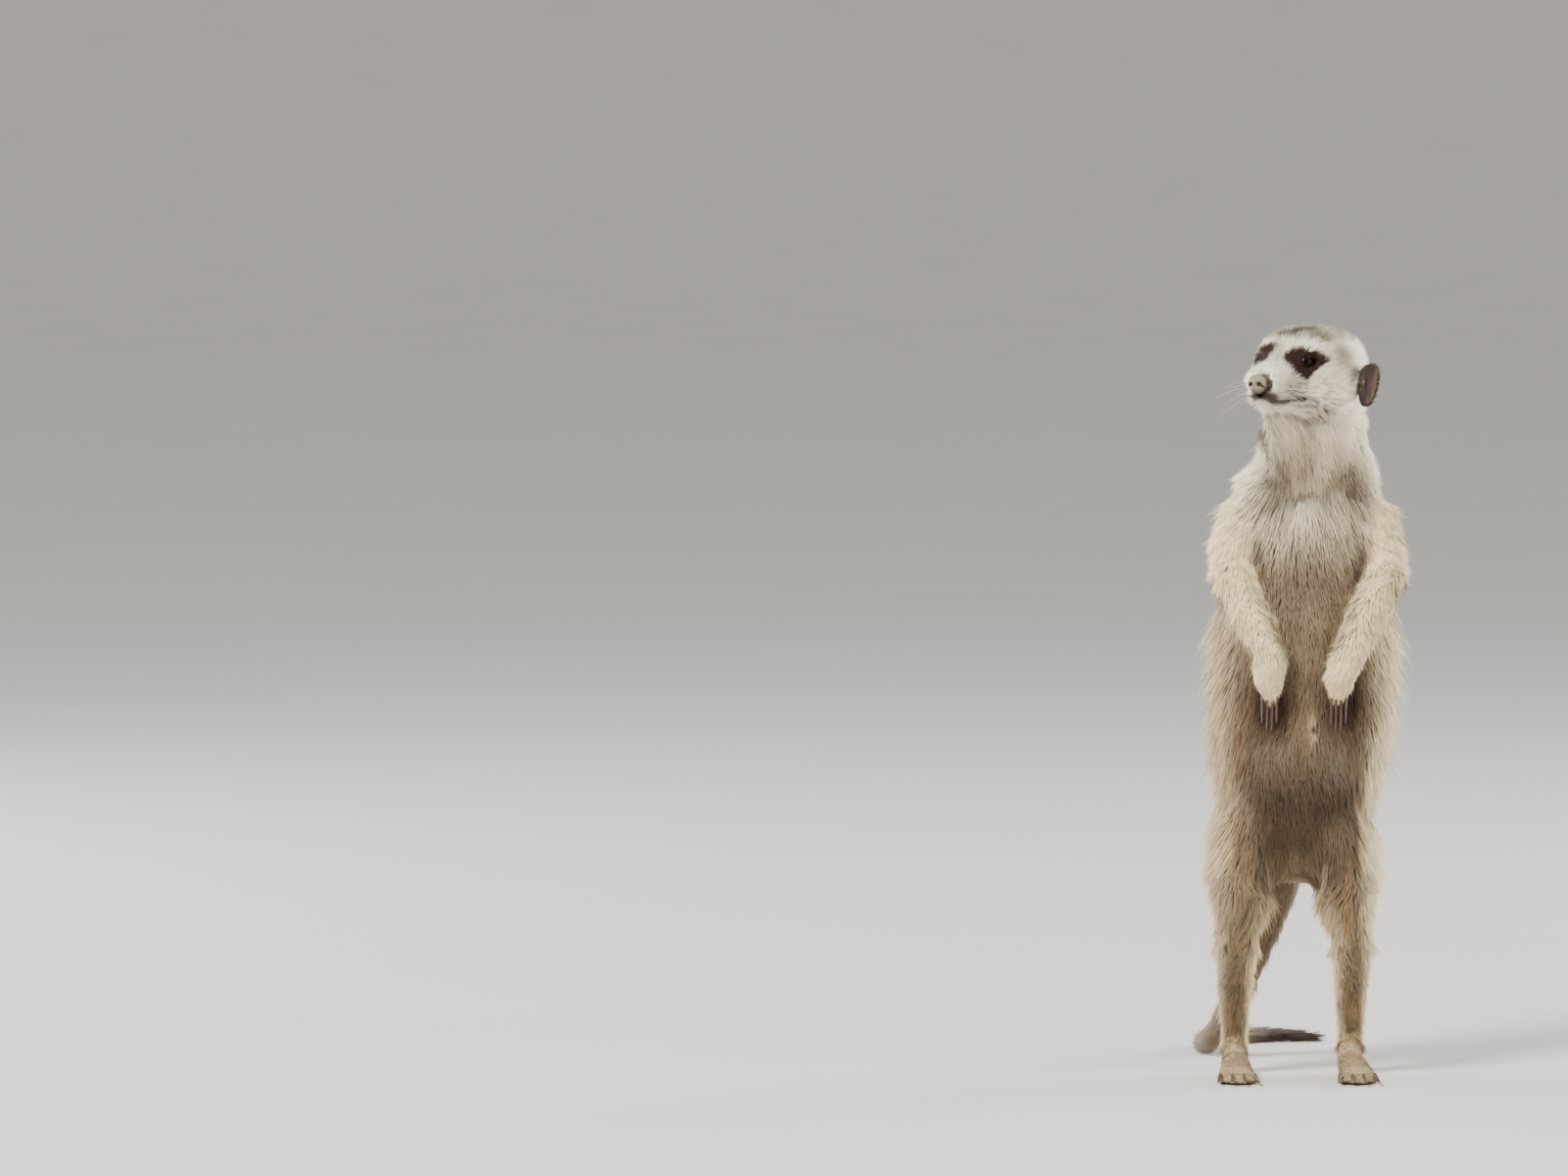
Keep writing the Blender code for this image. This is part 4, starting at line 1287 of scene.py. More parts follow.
def make_coat(name, skin, chosen, lines, count, style, seed, slot, colouring=markings):
    """One piece of coat: count tufts on the skin's chosen triangles. Each tuft's tip leans towards the
    middle of its clump, and length, lift, width and direction vary at random; a few long guard hairs stand
    higher. A tuft takes the marks of the place that it covers, just past its middle. lines gives the parts
    of the unwrapped map as (names of nodes, middle line)."""
    sizes = bpy.context.scene.meerkat_sizes
    chance = np.random.default_rng(seed)
    mesh = skin.data
    triangles = triangle_corners(mesh)
    triangles = triangles[chosen[triangles[:, 0]]]
    crowd = get_values(mesh, "crowd", 1)
    count = int(count * sizes.tuft_share)
    places = vertex_places(mesh)
    corners, weights = sow(places, triangles, crowd[triangles].mean(1), count, chance)

    def at_roots(values):
        """Each root's value, from its triangle's corners by their weights."""
        return (values[corners] * weights[..., None]).sum(1)

    roots, normal = at_roots(places), unit(at_roots(vertex_normals(mesh)))
    lie, coat = (at_roots(get_values(mesh, kind, 3)) for kind in ("lie", "coat"))
    groups = at_roots(get_values(mesh, "groups", 8))
    guard = chance.random(count) < style.guards
    centres = clump_centres(roots, style.clump, seed)
    clump_chance = scatter(np.floor(centres / style.clump * 7).astype(np.int64), seed + 9)
    lengths = coat[:, 0] * sizes.coat_length * chance.uniform(0.72, 1.12, count)
    lengths = lengths * mix(0.85, 1.15, clump_chance) * np.where(guard, GUARD_LONG, 1.0)
    pull = flattened(centres - roots, normal)
    lie = lie + chance.normal(0, style.stray, (count, 3))
    lie = moved(lie, (np.where(guard, 0.2, style.pull / lengths * 0.9), pull))
    lie = unit(flattened(lie, normal))
    lifts = np.radians(coat[:, 1]) * mix(0.75, 1.30, clump_chance) * chance.uniform(0.80, 1.2, count)
    lifts = lifts * np.where(guard, GUARD_RAISED, 1.0)
    lifts = np.minimum(lifts, np.where(guard, GUARD_MOST_LIFT, MOST_LIFT))
    widths = coat[:, 2] * sizes.coat_width * chance.uniform(0.75, 1.25, count)
    widths = widths * np.where(guard, GUARD_WIDE, 1.0)
    turns = chance.uniform(-0.5, 0.5, count)
    made = tuft_points(roots, normal, lie, lengths, lifts, widths, turns, style.rings)
    made[..., 2] = np.maximum(made[..., 2], FLOOR_GAP)
    faces, spread, along = tuft_pattern(style.rings)
    each = made.shape[1]
    faces = (faces[None] + (np.arange(count) * each)[:, None, None]).reshape(-1, 3)
    shell = hair_material(f"meerkat_{style.name}", style.root_shade, style.variation, style.sheen, 0)
    piece = new_piece(name, made.reshape(-1, 3), faces, shell)
    mesh = piece.data
    heading = moved(0, (np.cos(lifts), lie), (np.sin(lifts), normal))
    covered = moved(roots, (lengths * COVERED, heading))
    marks, pale = colouring(covered, normal, groups)
    deep = marks[:, MARKS.index("brown") : MARKS.index("tick")].max(1)
    pale = np.clip(pale + GUARD_PALE * guard * (1 - deep), 0, 1)
    shade = 0.55 * clump_chance + 0.45 * chance.random(count)
    values = np.stack([np.tile(along, count), np.repeat(shade, each), np.repeat(pale, each)], -1)
    set_values(mesh, strand=values, marks=np.repeat(marks, each, 0))
    nearest = corners[np.arange(count), weights.argmax(1)]
    part = np.rint(get_values(skin.data, "part", 1)[nearest]).astype(int)
    where = np.zeros((count, 2))
    for column, (parts, line) in enumerate(lines):
        mine = np.isin(part, [FLESH.index(p) for p in parts])
        if mine.any():
            where[mine] = unwrap_round(roots[mine], line, column, len(lines))
    spread = (spread[None] - 0.5) * PATCH + where[:, None]
    layer = mesh.uv_layers.new(name="OFBake", do_init=False)
    layer.uv.foreach_set("vector", spread.clip(0, 1).astype(np.float32).ravel())
    own = unit(made - made[:, : 3 * style.rings].mean(1)[:, None])
    soft = unit(normal[:, None] * (1 - style.crisp) + own * style.crisp).reshape(-1, 3)
    mesh.normals_split_custom_set_from_vertices(soft.tolist())


class MEERKAT_OT_coat(bpy.types.Operator):
    """Plants the coat on the skin, in pieces: head, neck, front, flanks, arms, legs and tail."""

    bl_idname = "meerkat.coat"
    bl_label = "Coat"

    def execute(self, context):
        skin = bpy.data.objects["skin"]
        points, normals = vertex_places(skin.data), vertex_normals(skin.data)
        node = np.array(FLESH)[get_values(skin.data, "part", 1).astype(int)]
        trunk = node == "trunk"
        front = trunk & (normals[:, 1] < -0.25)
        head, neck, body = [(("head",), SKULL)], [(("neck",), BACKBONE)], [(("trunk",), BACKBONE)]
        bare = self.bare(points, context.scene.meerkat_sizes.eye_opening)
        coats = [
            ("head", (node == "head") & ~bare, head, 45000, SHORT_COAT, 1, "face_fur"),
            ("neck", node == "neck", neck, 16000, SOFT_COAT, 2, "pale_fur"),
            ("front", front, body, 19500, CLOSE_COAT, 3, "pale_fur"),
        ]
        for side, sign in SIDES.items():
            flank = trunk & ~front & (points[:, 0] * sign > 0)
            arm = [f"{part}_{side}" for part in ("upper_arm", "forearm", "forepaw")]
            leg = [f"{part}_{side}" for part in ("thigh", "shank")]
            foot = [f"hind_foot_{side}"]
            hind = [(leg, LEG[side]), (foot, FOOT[side])]
            on_arm, on_leg = np.isin(node, arm), np.isin(node, leg + foot)
            coats += [
                (f"flank_{side}", flank, body, 17500, LONG_COAT, 4, "body_fur"),
                (f"arm_{side}", on_arm, [(arm, ARM[side])], 11500, SOFT_COAT, 5, "pale_fur"),
                (f"leg_{side}", on_leg, hind, 12500, SOFT_COAT, 6, "leg_fur"),
            ]
        tail = ["tail_base", "tail_middle", "tail_tip"]
        coats.append(("tail", np.isin(node, tail), [(tail, TAIL)], 14000, SOFT_COAT, 7, "tail_fur"))
        for name, *coat in coats:
            make_coat(f"coat_{name}", skin, *coat)
        return {"FINISHED"}

    def bare(self, points, wide):
        """True in the eyes' openings and on the nose pad."""
        bare = (distance(points, NOSE) < 0.0047) & ((points - NOSE) @ FORWARD > -0.0002)
        for side in SIDES:
            depth, across, above = in_eye(points, side)
            bare = bare | ((opening_share(across, above, wide) < 1.22) & (depth > 0))
        return bare


# ---- eyes and lids

# Across the lid's edge: shares of the opening, and heights over the eyeball.
LID_SECTION = (
    (0.97, -0.0006),
    (0.94, 0.0001),
    (0.98, 0.00036),
    (1.08, 0.00052),
    (1.24, 0.00050),
    (1.42, 0.00022),
    (1.50, -0.0005),
    (1.25, -0.0010),
)
# Rings of the eye, from the pupil out: shares of 60 degrees, and how light each is against the iris.
IRIS_RINGS = ((0.0, 0.02), (0.26, 0.03), (0.34, 0.9), (0.62, 0.7), (0.76, 0.08))


class MEERKAT_OT_eyes(bpy.types.Operator):
    """Makes the two eyeballs, each with a raised cornea, and the rims of their lids."""

    bl_idname = "meerkat.eyes"
    bl_label = "Eyes"

    def execute(self, context):
        colours = context.scene.meerkat_colours
        ball, rim = self.eye_material(colours), self.lid_material(colours)
        for side in SIDES:
            points, faces = self.eyeball(side)
            piece = new_piece(f"eyeball_{side}", points, faces, ball)
            away = unit(points - EYE[side])
            turned = np.degrees(np.arccos(np.clip(away @ eye_axes(side)[0], -1, 1)))
            set_values(piece.data, turned=turned)
            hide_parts(f"eye_{side}")
            points, faces = self.lid_rim(side, context.scene.meerkat_sizes.eye_opening)
            new_piece(f"lid_rim_{side}", points, faces, rim)
        return {"FINISHED"}

    def eyeball(self, side):
        """A ball turned about the gaze: its radius is the eye's own, raised by a bell over the cornea."""
        gaze, outer, up = eye_axes(side)
        turned = np.linspace(0.02, np.pi - 0.02, 40)[:, None, None]
        spin = round_circle(56)[None, :, None]
        radius = EYE_RADIUS * (0.985 + 0.06 * np.exp(-((turned / 0.62) ** 2)))
        flat = np.cos(spin) * outer + np.sin(spin) * up
        rings = EYE[side] + radius * (np.cos(turned) * gaze + np.sin(turned) * flat)
        return closed_tube(rings[::-1])

    def lid_rim(self, side, wide):
        """A thin lip carried round the eye's opening: its section goes from just under the eyeball's face,
        over the edge and out onto the lid. The path is the almond, laid on the ball."""
        gaze, outer, up = eye_axes(side)
        spin = round_circle(96)
        grow, lift = np.array(LID_SECTION).T[..., None]
        across = np.cos(spin) * wide * grow
        above = np.sin(spin) * np.abs(np.sin(spin)) ** 0.25 * OPENING_TALL
        above = above * wide * grow + across * OPENING_SLANT
        ahead = np.sqrt(np.clip((EYE_RADIUS + lift) ** 2 - across**2 - above**2, 0.0000010, None))
        rings = moved(EYE[side], (across, outer), (above, up), (ahead, gaze))
        return rings.reshape(-1, 3), grid_faces(len(LID_SECTION), len(spin), True)

    def eye_material(self, colours):
        """A wet brown eye: black pupil, brown iris with a dark edge, and dark round it."""
        material, tree, shader = principled("meerkat_eye", {"Roughness": 0.04, "Specular IOR Level": 0.11})
        rings = rescale(tree, stored(tree, "turned").outputs["Fac"], 0.0, 60.0)
        shades = new_node(tree, "ValToRGB")
        stops = shades.color_ramp.elements
        while len(stops) < len(IRIS_RINGS):
            stops.new(0.5)
        for stop, (place, light) in zip(stops, IRIS_RINGS):
            stop.position = place
            stop.color = (*(np.array(colours.iris) * light), 1)
        wire(tree, rings.outputs[0], shades.inputs[0])
        wire(tree, shades.outputs[0], shader.inputs["Base Color"])
        return material

    def lid_material(self, colours):
        """Bare dark skin at the edge of the lids, moist and faintly lined."""
        material, tree, shader = principled("meerkat_lid", {"Roughness": 0.42})
        lines = noise(tree, 2600.0, 3.0)
        dark = np.array(colours.dark)
        lay_colours(tree, shader, dark * 0.35, (dark * 0.9, lines))
        raise_relief(tree, shader, lines, 0.0001)
        return material


# ---- nose


class MEERKAT_OT_nose(bpy.types.Operator):
    """Makes the nose pad with its two comma-shaped nostrils and the groove between them."""

    bl_idname = "meerkat.nose"
    bl_label = "Nose"

    def execute(self, context):
        points, faces, pits = self.pad()
        leather = self.leather(context.scene.meerkat_colours)
        piece = new_piece("nose_pad", points, faces, leather)
        set_values(piece.data, pit=pits)
        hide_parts("nose")
        return {"FINISHED"}

    def pad(self):
        """A ball squared off at the front and narrower below, pressed in at each nostril and along the
        middle. Each pit is a bell over the height and the distance from the middle, drawn out and down to
        the side."""
        low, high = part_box("nose")
        size = (high[2] - low[2]) / 2
        tilt = np.linspace(0.03, np.pi - 0.03, 84)[:, None]
        spin = round_circle(120)[None]
        across, above, ahead = np.sin(tilt) * np.cos(spin), np.sin(tilt) * np.sin(spin), np.cos(tilt)
        square = (np.abs(across) ** 2.5 + np.abs(above) ** 2.5 + np.abs(ahead) ** 2.5) ** (-1 / 2.5)
        across, above, ahead = across * square, above * square, ahead * square
        across = across * (1 - 0.24 * ramp(-above, 0.0, 1.0))
        side = np.abs(across)
        pit = np.exp(-(((side - 0.47) / 0.25) ** 2) - ((above - 0.04) / 0.21) ** 2)
        slit = ramp(side, 0.50, 0.72) * bell(above, 0.04 - 0.75 * (side - 0.47), 0.11)
        slit = slit * ramp(ahead, -0.4, 0.2)
        pits = np.clip(1.25 * pit + 0.8 * slit, 0, 1) * ramp(ahead, -0.3, 0.2)
        groove = bell(across, 0.0, 0.075) * ramp(0.35 - above, 0.0, 0.8) * ramp(ahead, 0.0, 0.5)
        wing = bell(side, 0.86, 0.20) * bell(above, -0.05, 0.30) * 0.05
        aside = across * (size * 1.04) * (1 + wing - 0.06 * pits)
        deep = ahead * (size * 0.98) * (1 - 0.50 * pits - 0.12 * groove)
        rings = moved(NOSE, (aside, LEFT), (above * size, UP), (deep, FORWARD))
        points, faces = closed_tube(rings[::-1])
        # The stored pit share darkens the nostrils, the groove between them and the pad's sides and back:
        # painted shade in these hollows and where the pad meets the fur.
        edge = 0.85 * (1 - ramp(ahead, 0.0, 0.45))
        values = np.clip(np.maximum(pits * 1.2 + 0.55 * groove, edge), 0, 1)[::-1].ravel()
        return points, faces, np.append(values, (0, 0))

    def leather(self, colours):
        """Tan leather with a fine pebble, darker below, with painted shade in the nostrils, in the groove
        between them and round the pad's sides and back.
        """
        material, tree, shader = principled("meerkat_nose")
        cells = new_node(tree, "TexVoronoi", {"Scale": 2400.0})
        wire(tree, object_place(tree), cells.inputs["Vector"])
        pebble = cells.outputs["Distance"]
        height = split(tree, "XYZ", object_place(tree))["Z"]
        below = rescale(tree, height, NOSE[2] - 0.0012, NOSE[2] - 0.0040).outputs[0]
        pale, dark = np.array(colours.leather), np.array(colours.dark)
        lay_colours(
            tree,
            shader,
            pale * 0.30,
            (pale, noise(tree, 520.0, 3.0)),
            (dark * 1.1, times(tree, below, 0.85)),
            # Painted shade in the nostrils, the groove and round the pad's edge.
            (dark * 0.20, stored(tree, "pit").outputs["Fac"]),
        )
        wire(tree, plus(tree, times(tree, pebble, 0.3), 0.38), shader.inputs["Roughness"])
        raise_relief(tree, shader, pebble, 0.00012)
        return material


# ---- ears

# Metres, apart from the hair's lift in degrees: EAR_HAIR holds its length, lift and width.
CUP_DEEP = 0.0030
CUP_THICK = 0.0020
RIM_HIGH = 0.0004
FOLD_HIGH = 0.0013
EAR_HAIR = (0.0023, 14.0, 0.00036)


def ear_axes(side):
    """The direction that an ear's cup faces, the one across it towards the back of the head, and up."""
    facing = unit(LEFT * SIDES[side] * 0.80 + FORWARD * 0.60)
    return facing, np.cross(UP, facing) * SIDES[side], UP


def ear_marks(points, normals, groups):
    """Marks of the hair on the ears: dark, browner where soft noise is high."""
    rough = fractal(points, 0.004, 71)
    marks = np.zeros((len(points), len(MARKS)))
    marks[:, MARKS.index("brown")] = 0.8
    marks[:, MARKS.index("dark")] = 0.80 - 0.35 * rough
    return marks, 0.10 * rough


class MEERKAT_OT_ears(bpy.types.Operator):
    """Makes the two cupped ears with their inner folds, and the short dark hair on them."""

    bl_idname = "meerkat.ears"
    bl_label = "Ears"

    def execute(self, context):
        skin = self.ear_material(context.scene.meerkat_colours)
        for side in SIDES:
            points, faces, hollow = self.cup(side)
            piece = new_piece(f"ear_cup_{side}", points, faces, skin)
            set_values(piece.data, hollow=hollow)
            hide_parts(f"ear_{side}")
            self.comb(piece.data, side, hollow)
            lines = [(("head",), EAR[side] + np.outer((-EAR_TALL / 2, EAR_TALL / 2), UP))]
            hairy = hollow < 0.10
            make_coat(f"coat_ear_{side}", piece, hairy, lines, 4200, EAR_COAT, 8, "ear_skin", ear_marks)
        return {"FINISHED"}

    def cup(self, side):
        """A closed cup over a polar grid: the outline is broad above and narrow below, nearly straight where
        it meets the head; the front is hollow, its rim is rolled, and the back is a dome. Two soft ridges
        stand inside."""
        facing, back, up = ear_axes(side)
        half_tall = EAR_TALL / 2 * 0.97
        half_wide = half_tall * 0.60
        spin = round_circle(72)[None]
        wave, rise = np.cos(spin), np.sin(spin)
        free_edge = (0.84 + 0.22 * rise) * np.abs(wave) ** 0.85
        outline = np.where(wave > 0, free_edge, -(0.80 + 0.04 * rise) * np.abs(wave) ** 0.6)
        front, rear = np.linspace(0.04, 1, 20), np.linspace(1, 0.04, 18)
        reach = np.concatenate([front, rear])[:, None]
        is_front = np.arange(len(reach))[:, None] < len(front)
        hollow = -CUP_DEEP * (1 - reach**2.2)
        bulge = np.sin(np.linspace(0, np.pi / 2, len(rear))) ** 0.7
        thick = np.concatenate([np.zeros(len(front)), bulge])[:, None]
        depth = hollow - CUP_THICK * thick * (0.35 + 0.65 * (1 - reach**3))
        rim = bell(reach, 0.97, 0.06) * RIM_HIGH
        across = reach * half_wide * outline + 0.0009 * rise * reach
        above = reach * half_tall * rise
        fold = bell(across, 0.0012, 0.0007) * bell(above, -0.0015, 0.0045)
        fold = fold + 0.9 * bell(across, -0.0020 - 0.10 * above, 0.0007) * bell(above, 0.0005, 0.0050)
        ahead = depth + rim + fold * is_front * FOLD_HIGH * (1 - reach**4) - 0.10 * across
        rings = moved(EAR[side], (ahead, facing), (across, back), (above, up))
        deep = (1 - reach**2) * is_front - fold * 0.4
        if side == "right":
            rings, deep = rings[:, ::-1], deep[:, ::-1]
        points, faces = closed_tube(rings)
        return points, faces, np.append(deep.ravel(), (1, 0))

    def comb(self, mesh, side, hollow):
        """Stores what a coat needs on the ear: short hair that lies up and back from the ear's root."""
        points, normals = vertex_places(mesh), vertex_normals(mesh)
        _, back, up = ear_axes(side)
        lie = unit((points - EAR[side]) * 0.5 / EAR_TALL + up * 0.5 + back * 0.5)
        many = len(points)
        part = np.full(many, FLESH.index("head"))
        crowd = np.where(hollow > 0.25, 0.35, 1.0)
        set_values(mesh, lie=unit(flattened(lie, normals)), coat=np.tile(EAR_HAIR, (many, 1)))
        set_values(mesh, crowd=crowd, part=part, groups=np.zeros((many, len(GROUPS))))

    def ear_material(self, colours):
        """Thin dark skin, redder and paler in the hollow, with fine hair lines."""
        material, tree, shader = principled("meerkat_ear", {"Roughness": 0.62, "Sheen Weight": 0.3})
        hairs = noise(tree, 1800.0, 3.0)
        dark = np.array(colours.dark)
        inside = (dark * (2.4, 2.15, 1.9), stored(tree, "hollow").outputs["Fac"])
        lay_colours(tree, shader, dark * 0.8, inside, (dark * 0.5, times(tree, hairs, 0.5)))
        raise_relief(tree, shader, hairs, 0.0003)
        return material


# ---- claws and whiskers

CLAW_THICK = 0.00115
WHISKER_THICK = 0.00013


class MEERKAT_OT_claws(bpy.types.Operator):
    """Makes the sixteen claws, each in place of its own node."""

    bl_idname = "meerkat.claws"
    bl_label = "Claws"

    def execute(self, context):
        horn = self.horn(context.scene.meerkat_colours)
        for name in frame["nodes"]:
            if "claw" in name:
                points, faces, along = self.claw(name)
                piece = new_piece(f"{name}_horn", points, faces, horn)
                set_values(piece.data, along=along)
                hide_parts(name)
        return {"FINISHED"}

    def claw(self, name):
        """A narrow ridged section carried along the claw's middle line: taller than wide, keeled on its
        outer curve, and shrinking to a blunt point by the root of the distance left."""
        fore = name.startswith("fore")
        line = line_through(name, DOWN if fore else (0, -1, 0), 5)
        points = node_points(name)
        ends = [points[((points - a) @ unit(a - b)).argmax()] for a, b in (line[:2], line[:-3:-1])]
        path = np.concatenate([[mix(line[0], ends[0], 0.8)], line, [ends[1]]])
        t = np.linspace(0, 1, 22)
        knots = np.linspace(0, 1, len(path))
        smooth = np.stack([np.polyval(np.polyfit(knots, path[:, k], 3), t) for k in range(3)], -1)
        heading = unit(np.gradient(smooth, axis=0))
        across = unit(np.cross(heading, (0.0, 1.0, 0.0) if fore else (0.0, 0.0, 1.0)))
        over = np.cross(across, heading)
        thick = CLAW_THICK * np.clip(1 - t**1.8, 0.004, 1) ** 0.62 * (0.55 + 0.45 * ramp(t, 0, 0.14))
        thick = thick[:, None]
        spin = round_circle(14)
        keel = 1 + 0.18 * np.clip(-np.sin(spin), 0, 1) ** 4
        aside, above = thick * 0.62 * np.cos(spin), thick * keel * np.sin(spin)
        rings = moved(smooth[:, None], (aside, across[:, None]), (above, over[:, None]))
        points, faces = closed_tube(rings)
        return points, faces, np.append(np.repeat(t, len(spin)), (0, 1))

    def horn(self, colours):
        """Dark horn with a fine grain, paler towards the tip."""
        material, tree, shader = principled("meerkat_horn", {"Roughness": 0.34})
        grain = noise(tree, 900.0, 4.0)
        dark = np.array(colours.horn)
        tip = times(tree, stored(tree, "along").outputs["Fac"], 0.55)
        lay_colours(tree, shader, dark * 0.6, (dark * 1.3, grain), (dark * (3.6, 3.4, 3.2), tip))
        raise_relief(tree, shader, grain, 0.00006)
        return material


class MEERKAT_OT_whiskers(bpy.types.Operator):
    """Makes the whiskers of the muzzle."""

    bl_idname = "meerkat.whiskers"
    bl_label = "Whiskers"

    def execute(self, context):
        count = context.scene.meerkat_sizes.whiskers
        chance = np.random.default_rng(40)
        number = np.arange(count)
        row = number % 4
        ahead = 0.0215 - 0.0022 * (number // 4) - 0.0006 * row
        grown = []
        for sign in SIDES.values():
            above = -0.0080 - 0.0019 * row + chance.normal(0, 0.0003, count)
            aside = sign * (0.0052 + 0.0018 * number / count * 4)
            root = moved(EYES, (ahead, FORWARD), (aside, LEFT), (above, UP))
            out = LEFT * sign * 0.9 + FORWARD * 0.15 - UP * 0.10
            heading = unit(out + chance.normal(0, 0.16, (count, 3)) + DOWN * (row * 0.10)[:, None])
            grown.append((root, heading, chance.uniform(0.010, 0.021, count)))
        points, faces = self.hairs(*(np.concatenate(part) for part in zip(*grown)))
        new_piece("whiskers", points, faces, self.bristle())
        return {"FINISHED"}

    def hairs(self, root, heading, reach):
        """Thin three-sided hairs: each path is a parabola that sags with its length, and its thickness falls
        evenly to a point."""
        steps = np.linspace(0, 1, 7)
        across = unit(np.cross(heading, UP))
        over = np.cross(across, heading)
        reach, heading = reach[:, None], heading[:, None]
        path = moved(root[:, None], (reach * steps, heading), (reach * 0.18 * steps**2, DOWN))
        thick = WHISKER_THICK * (1 - 0.92 * steps)
        turn = np.arange(3) * 2 * np.pi / 3
        section = np.cos(turn)[:, None] * across[:, None] + np.sin(turn)[:, None] * over[:, None]
        rings = path[:, :, None] + thick[None, :, None, None] * section[:, None]
        made = [closed_tube(each) for each in rings]
        size = len(made[0][0])
        points = np.concatenate([hair[0] for hair in made])
        return points, np.concatenate([hair[1] + k * size for k, hair in enumerate(made)])

    def bristle(self):
        """Pale stiff hair, a little darker in places."""
        material, tree, shader = principled("meerkat_whisker", {"Roughness": 0.45})
        lay_colours(tree, shader, (0.16, 0.13, 0.11), ((0.62, 0.56, 0.48), noise(tree, 160.0, 2.0)))
        return material


# ---- stage


# Metres, apart from the camera's rise in degrees and its sensor's width in millimetres.
SENSOR = 36.0
CAMERA_AWAY = 4.5
CAMERA_RISE = 3.0
VIEW_WIDE = 0.6893
AIM_ASIDE = -0.2244
AIM_HIGH = 0.2154
HORIZON = (0.60, 0.58, 0.55)
ZENITH = (0.66, 0.67, 0.69)

# Each soft light's place from the feet, the side of its square and its power in watts.
LAMPS = {
    "key": ((-1.6, -2.2, 2.3), 0.8, 185),
    "fill": ((2.4, -1.9, 1.2), 2.0, 42),
    "rim_left": ((-1.9, 1.3, 0.5), 0.9, 60),
    "rim_right": ((1.9, 1.3, 0.5), 0.9, 75),
}


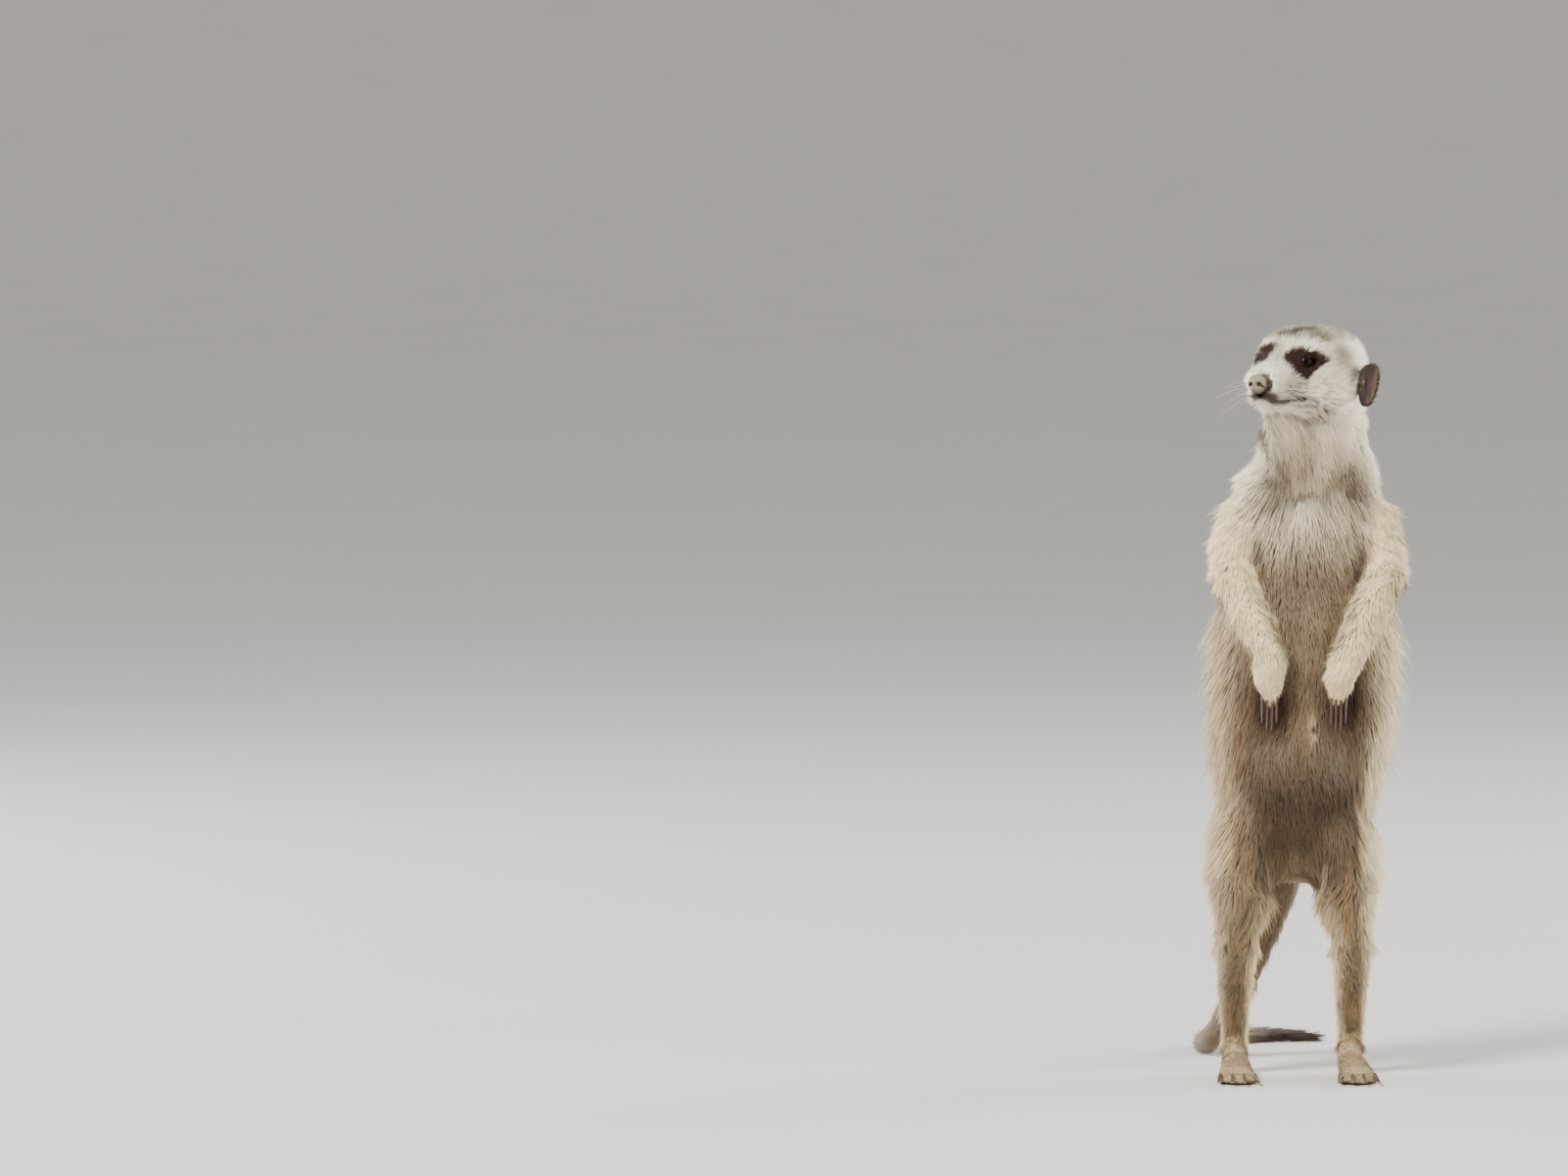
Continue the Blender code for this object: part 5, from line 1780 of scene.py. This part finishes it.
class MEERKAT_OT_stage(bpy.types.Operator):
    """Sets the pale floor, the soft studio lights and the camera."""

    bl_idname = "meerkat.stage"
    bl_label = "Stage"

    def execute(self, context):
        scene = context.scene
        self.floor(scene.meerkat_sizes.floor_reach)
        scene.world = self.air()
        stand = Vector(((CAD_BOX[0][0] + CAD_BOX[1][0]) / 2, HIPS[1], 0))
        for name, (offset, size, power) in LAMPS.items():
            data = bpy.data.lights.new(name, "AREA")
            data.size, data.energy = size, power
            place = stand + Vector(offset)
            self.look(name, data, place, stand + Vector((0, 0, HEIGHT / 2)) - place)
        data = bpy.data.cameras.new("camera")
        data.sensor_width = SENSOR
        data.lens = SENSOR * CAMERA_AWAY / VIEW_WIDE
        data.clip_start, data.clip_end = 0.1, 200.0
        aim = Vector((HIPS[0] + AIM_ASIDE, HIPS[1], AIM_HIGH))
        tilt = np.radians(CAMERA_RISE)
        away = Vector((0, -np.cos(tilt), np.sin(tilt))) * CAMERA_AWAY
        scene.camera = self.look("camera", data, aim + away, -away)
        return {"FINISHED"}

    def look(self, name, data, place, heading):
        """Puts a camera or a light in the scene, turned the way that it faces."""
        made = new_object(name, data)
        made.location = place
        made.rotation_mode = "QUATERNION"
        made.rotation_quaternion = heading.to_track_quat("-Z", "Y")
        return made

    def floor(self, reach):
        """A round floor that bends up at its far edge: flat out to its reach, then a quarter of a circle."""
        bend = reach * 0.6
        turn = np.linspace(0, np.pi / 2, 13)
        out = np.concatenate([[0.001, reach * 0.3, reach * 0.7], reach + bend * np.sin(turn)])
        high = np.concatenate([np.zeros(3), bend * (1 - np.cos(turn))])
        spin = round_circle(96)
        round_it = np.stack([np.cos(spin), np.sin(spin), np.ones(len(spin))], -1)
        rings = np.stack([out, out, high], -1)[:, None] * round_it
        faces = grid_faces(len(out), len(spin))[:, ::-1].tolist() + [tuple(range(len(spin)))]
        mesh = bpy.data.meshes.new("floor")
        mesh.from_pydata(rings.reshape(-1, 3).tolist(), [], faces)
        mesh.shade_smooth()
        material, tree, shader = principled("studio_floor", {"Roughness": 0.9})
        lay_colours(tree, shader, (0.70, 0.665, 0.62), ((0.74, 0.70, 0.65), noise(tree, 6.0, 2.0)))
        mesh.materials.append(material)
        plane = new_object("floor", mesh)

    def air(self):
        """Even pale light from all round, a little cooler overhead."""
        world = bpy.data.worlds.new("studio")
        world.use_nodes = True
        tree = world.node_tree
        back = tree.nodes["Background"]
        place = new_node(tree, "TexCoord").outputs["Generated"]
        rise = rescale(tree, split(tree, "XYZ", place)["Z"], 0.0, 1.0, smooth=True)
        wire(tree, blend_colours(tree, HORIZON, ZENITH, rise.outputs[0]), back.inputs["Color"])
        back.inputs["Strength"].default_value = 1.0
        return world


# ---- add-on


class MEERKAT_PT_panel(bpy.types.Panel):
    """Lists the settings and the steps that dress the animal."""

    bl_idname = "MEERKAT_PT_panel"
    bl_label = "Standing Meerkat"
    bl_space_type = "VIEW_3D"
    bl_region_type = "UI"
    bl_category = "Meerkat"

    def draw(self, context):
        layout = self.layout
        for group in (context.scene.meerkat_sizes, context.scene.meerkat_colours):
            box = layout.box()
            for name in group.__annotations__:
                box.prop(group, name)
        for step in STEPS:
            layout.operator(step.bl_idname)


STEPS = (
    MEERKAT_OT_stage,
    MEERKAT_OT_skin,
    MEERKAT_OT_eyes,
    MEERKAT_OT_nose,
    MEERKAT_OT_ears,
    MEERKAT_OT_claws,
    MEERKAT_OT_coat,
    MEERKAT_OT_whiskers,
)
CLASSES = (MeerkatColours, MeerkatSizes, *STEPS, MEERKAT_PT_panel)


def register():
    """Registers the classes and hangs the settings on the scene."""
    for each in CLASSES:
        bpy.utils.register_class(each)
    bpy.types.Scene.meerkat_colours = PointerProperty(type=MeerkatColours)
    bpy.types.Scene.meerkat_sizes = PointerProperty(type=MeerkatSizes)


def unregister():
    """Takes the settings and classes away."""
    del bpy.types.Scene.meerkat_sizes
    del bpy.types.Scene.meerkat_colours
    for each in reversed(CLASSES):
        bpy.utils.unregister_class(each)


def main():
    """Makes every piece in order."""
    register()
    for step in STEPS:
        family, action = step.bl_idname.split(".")
        getattr(getattr(bpy.ops, family), action)()
    bpy.context.view_layer.update()


if __name__ == "__main__":
    main()
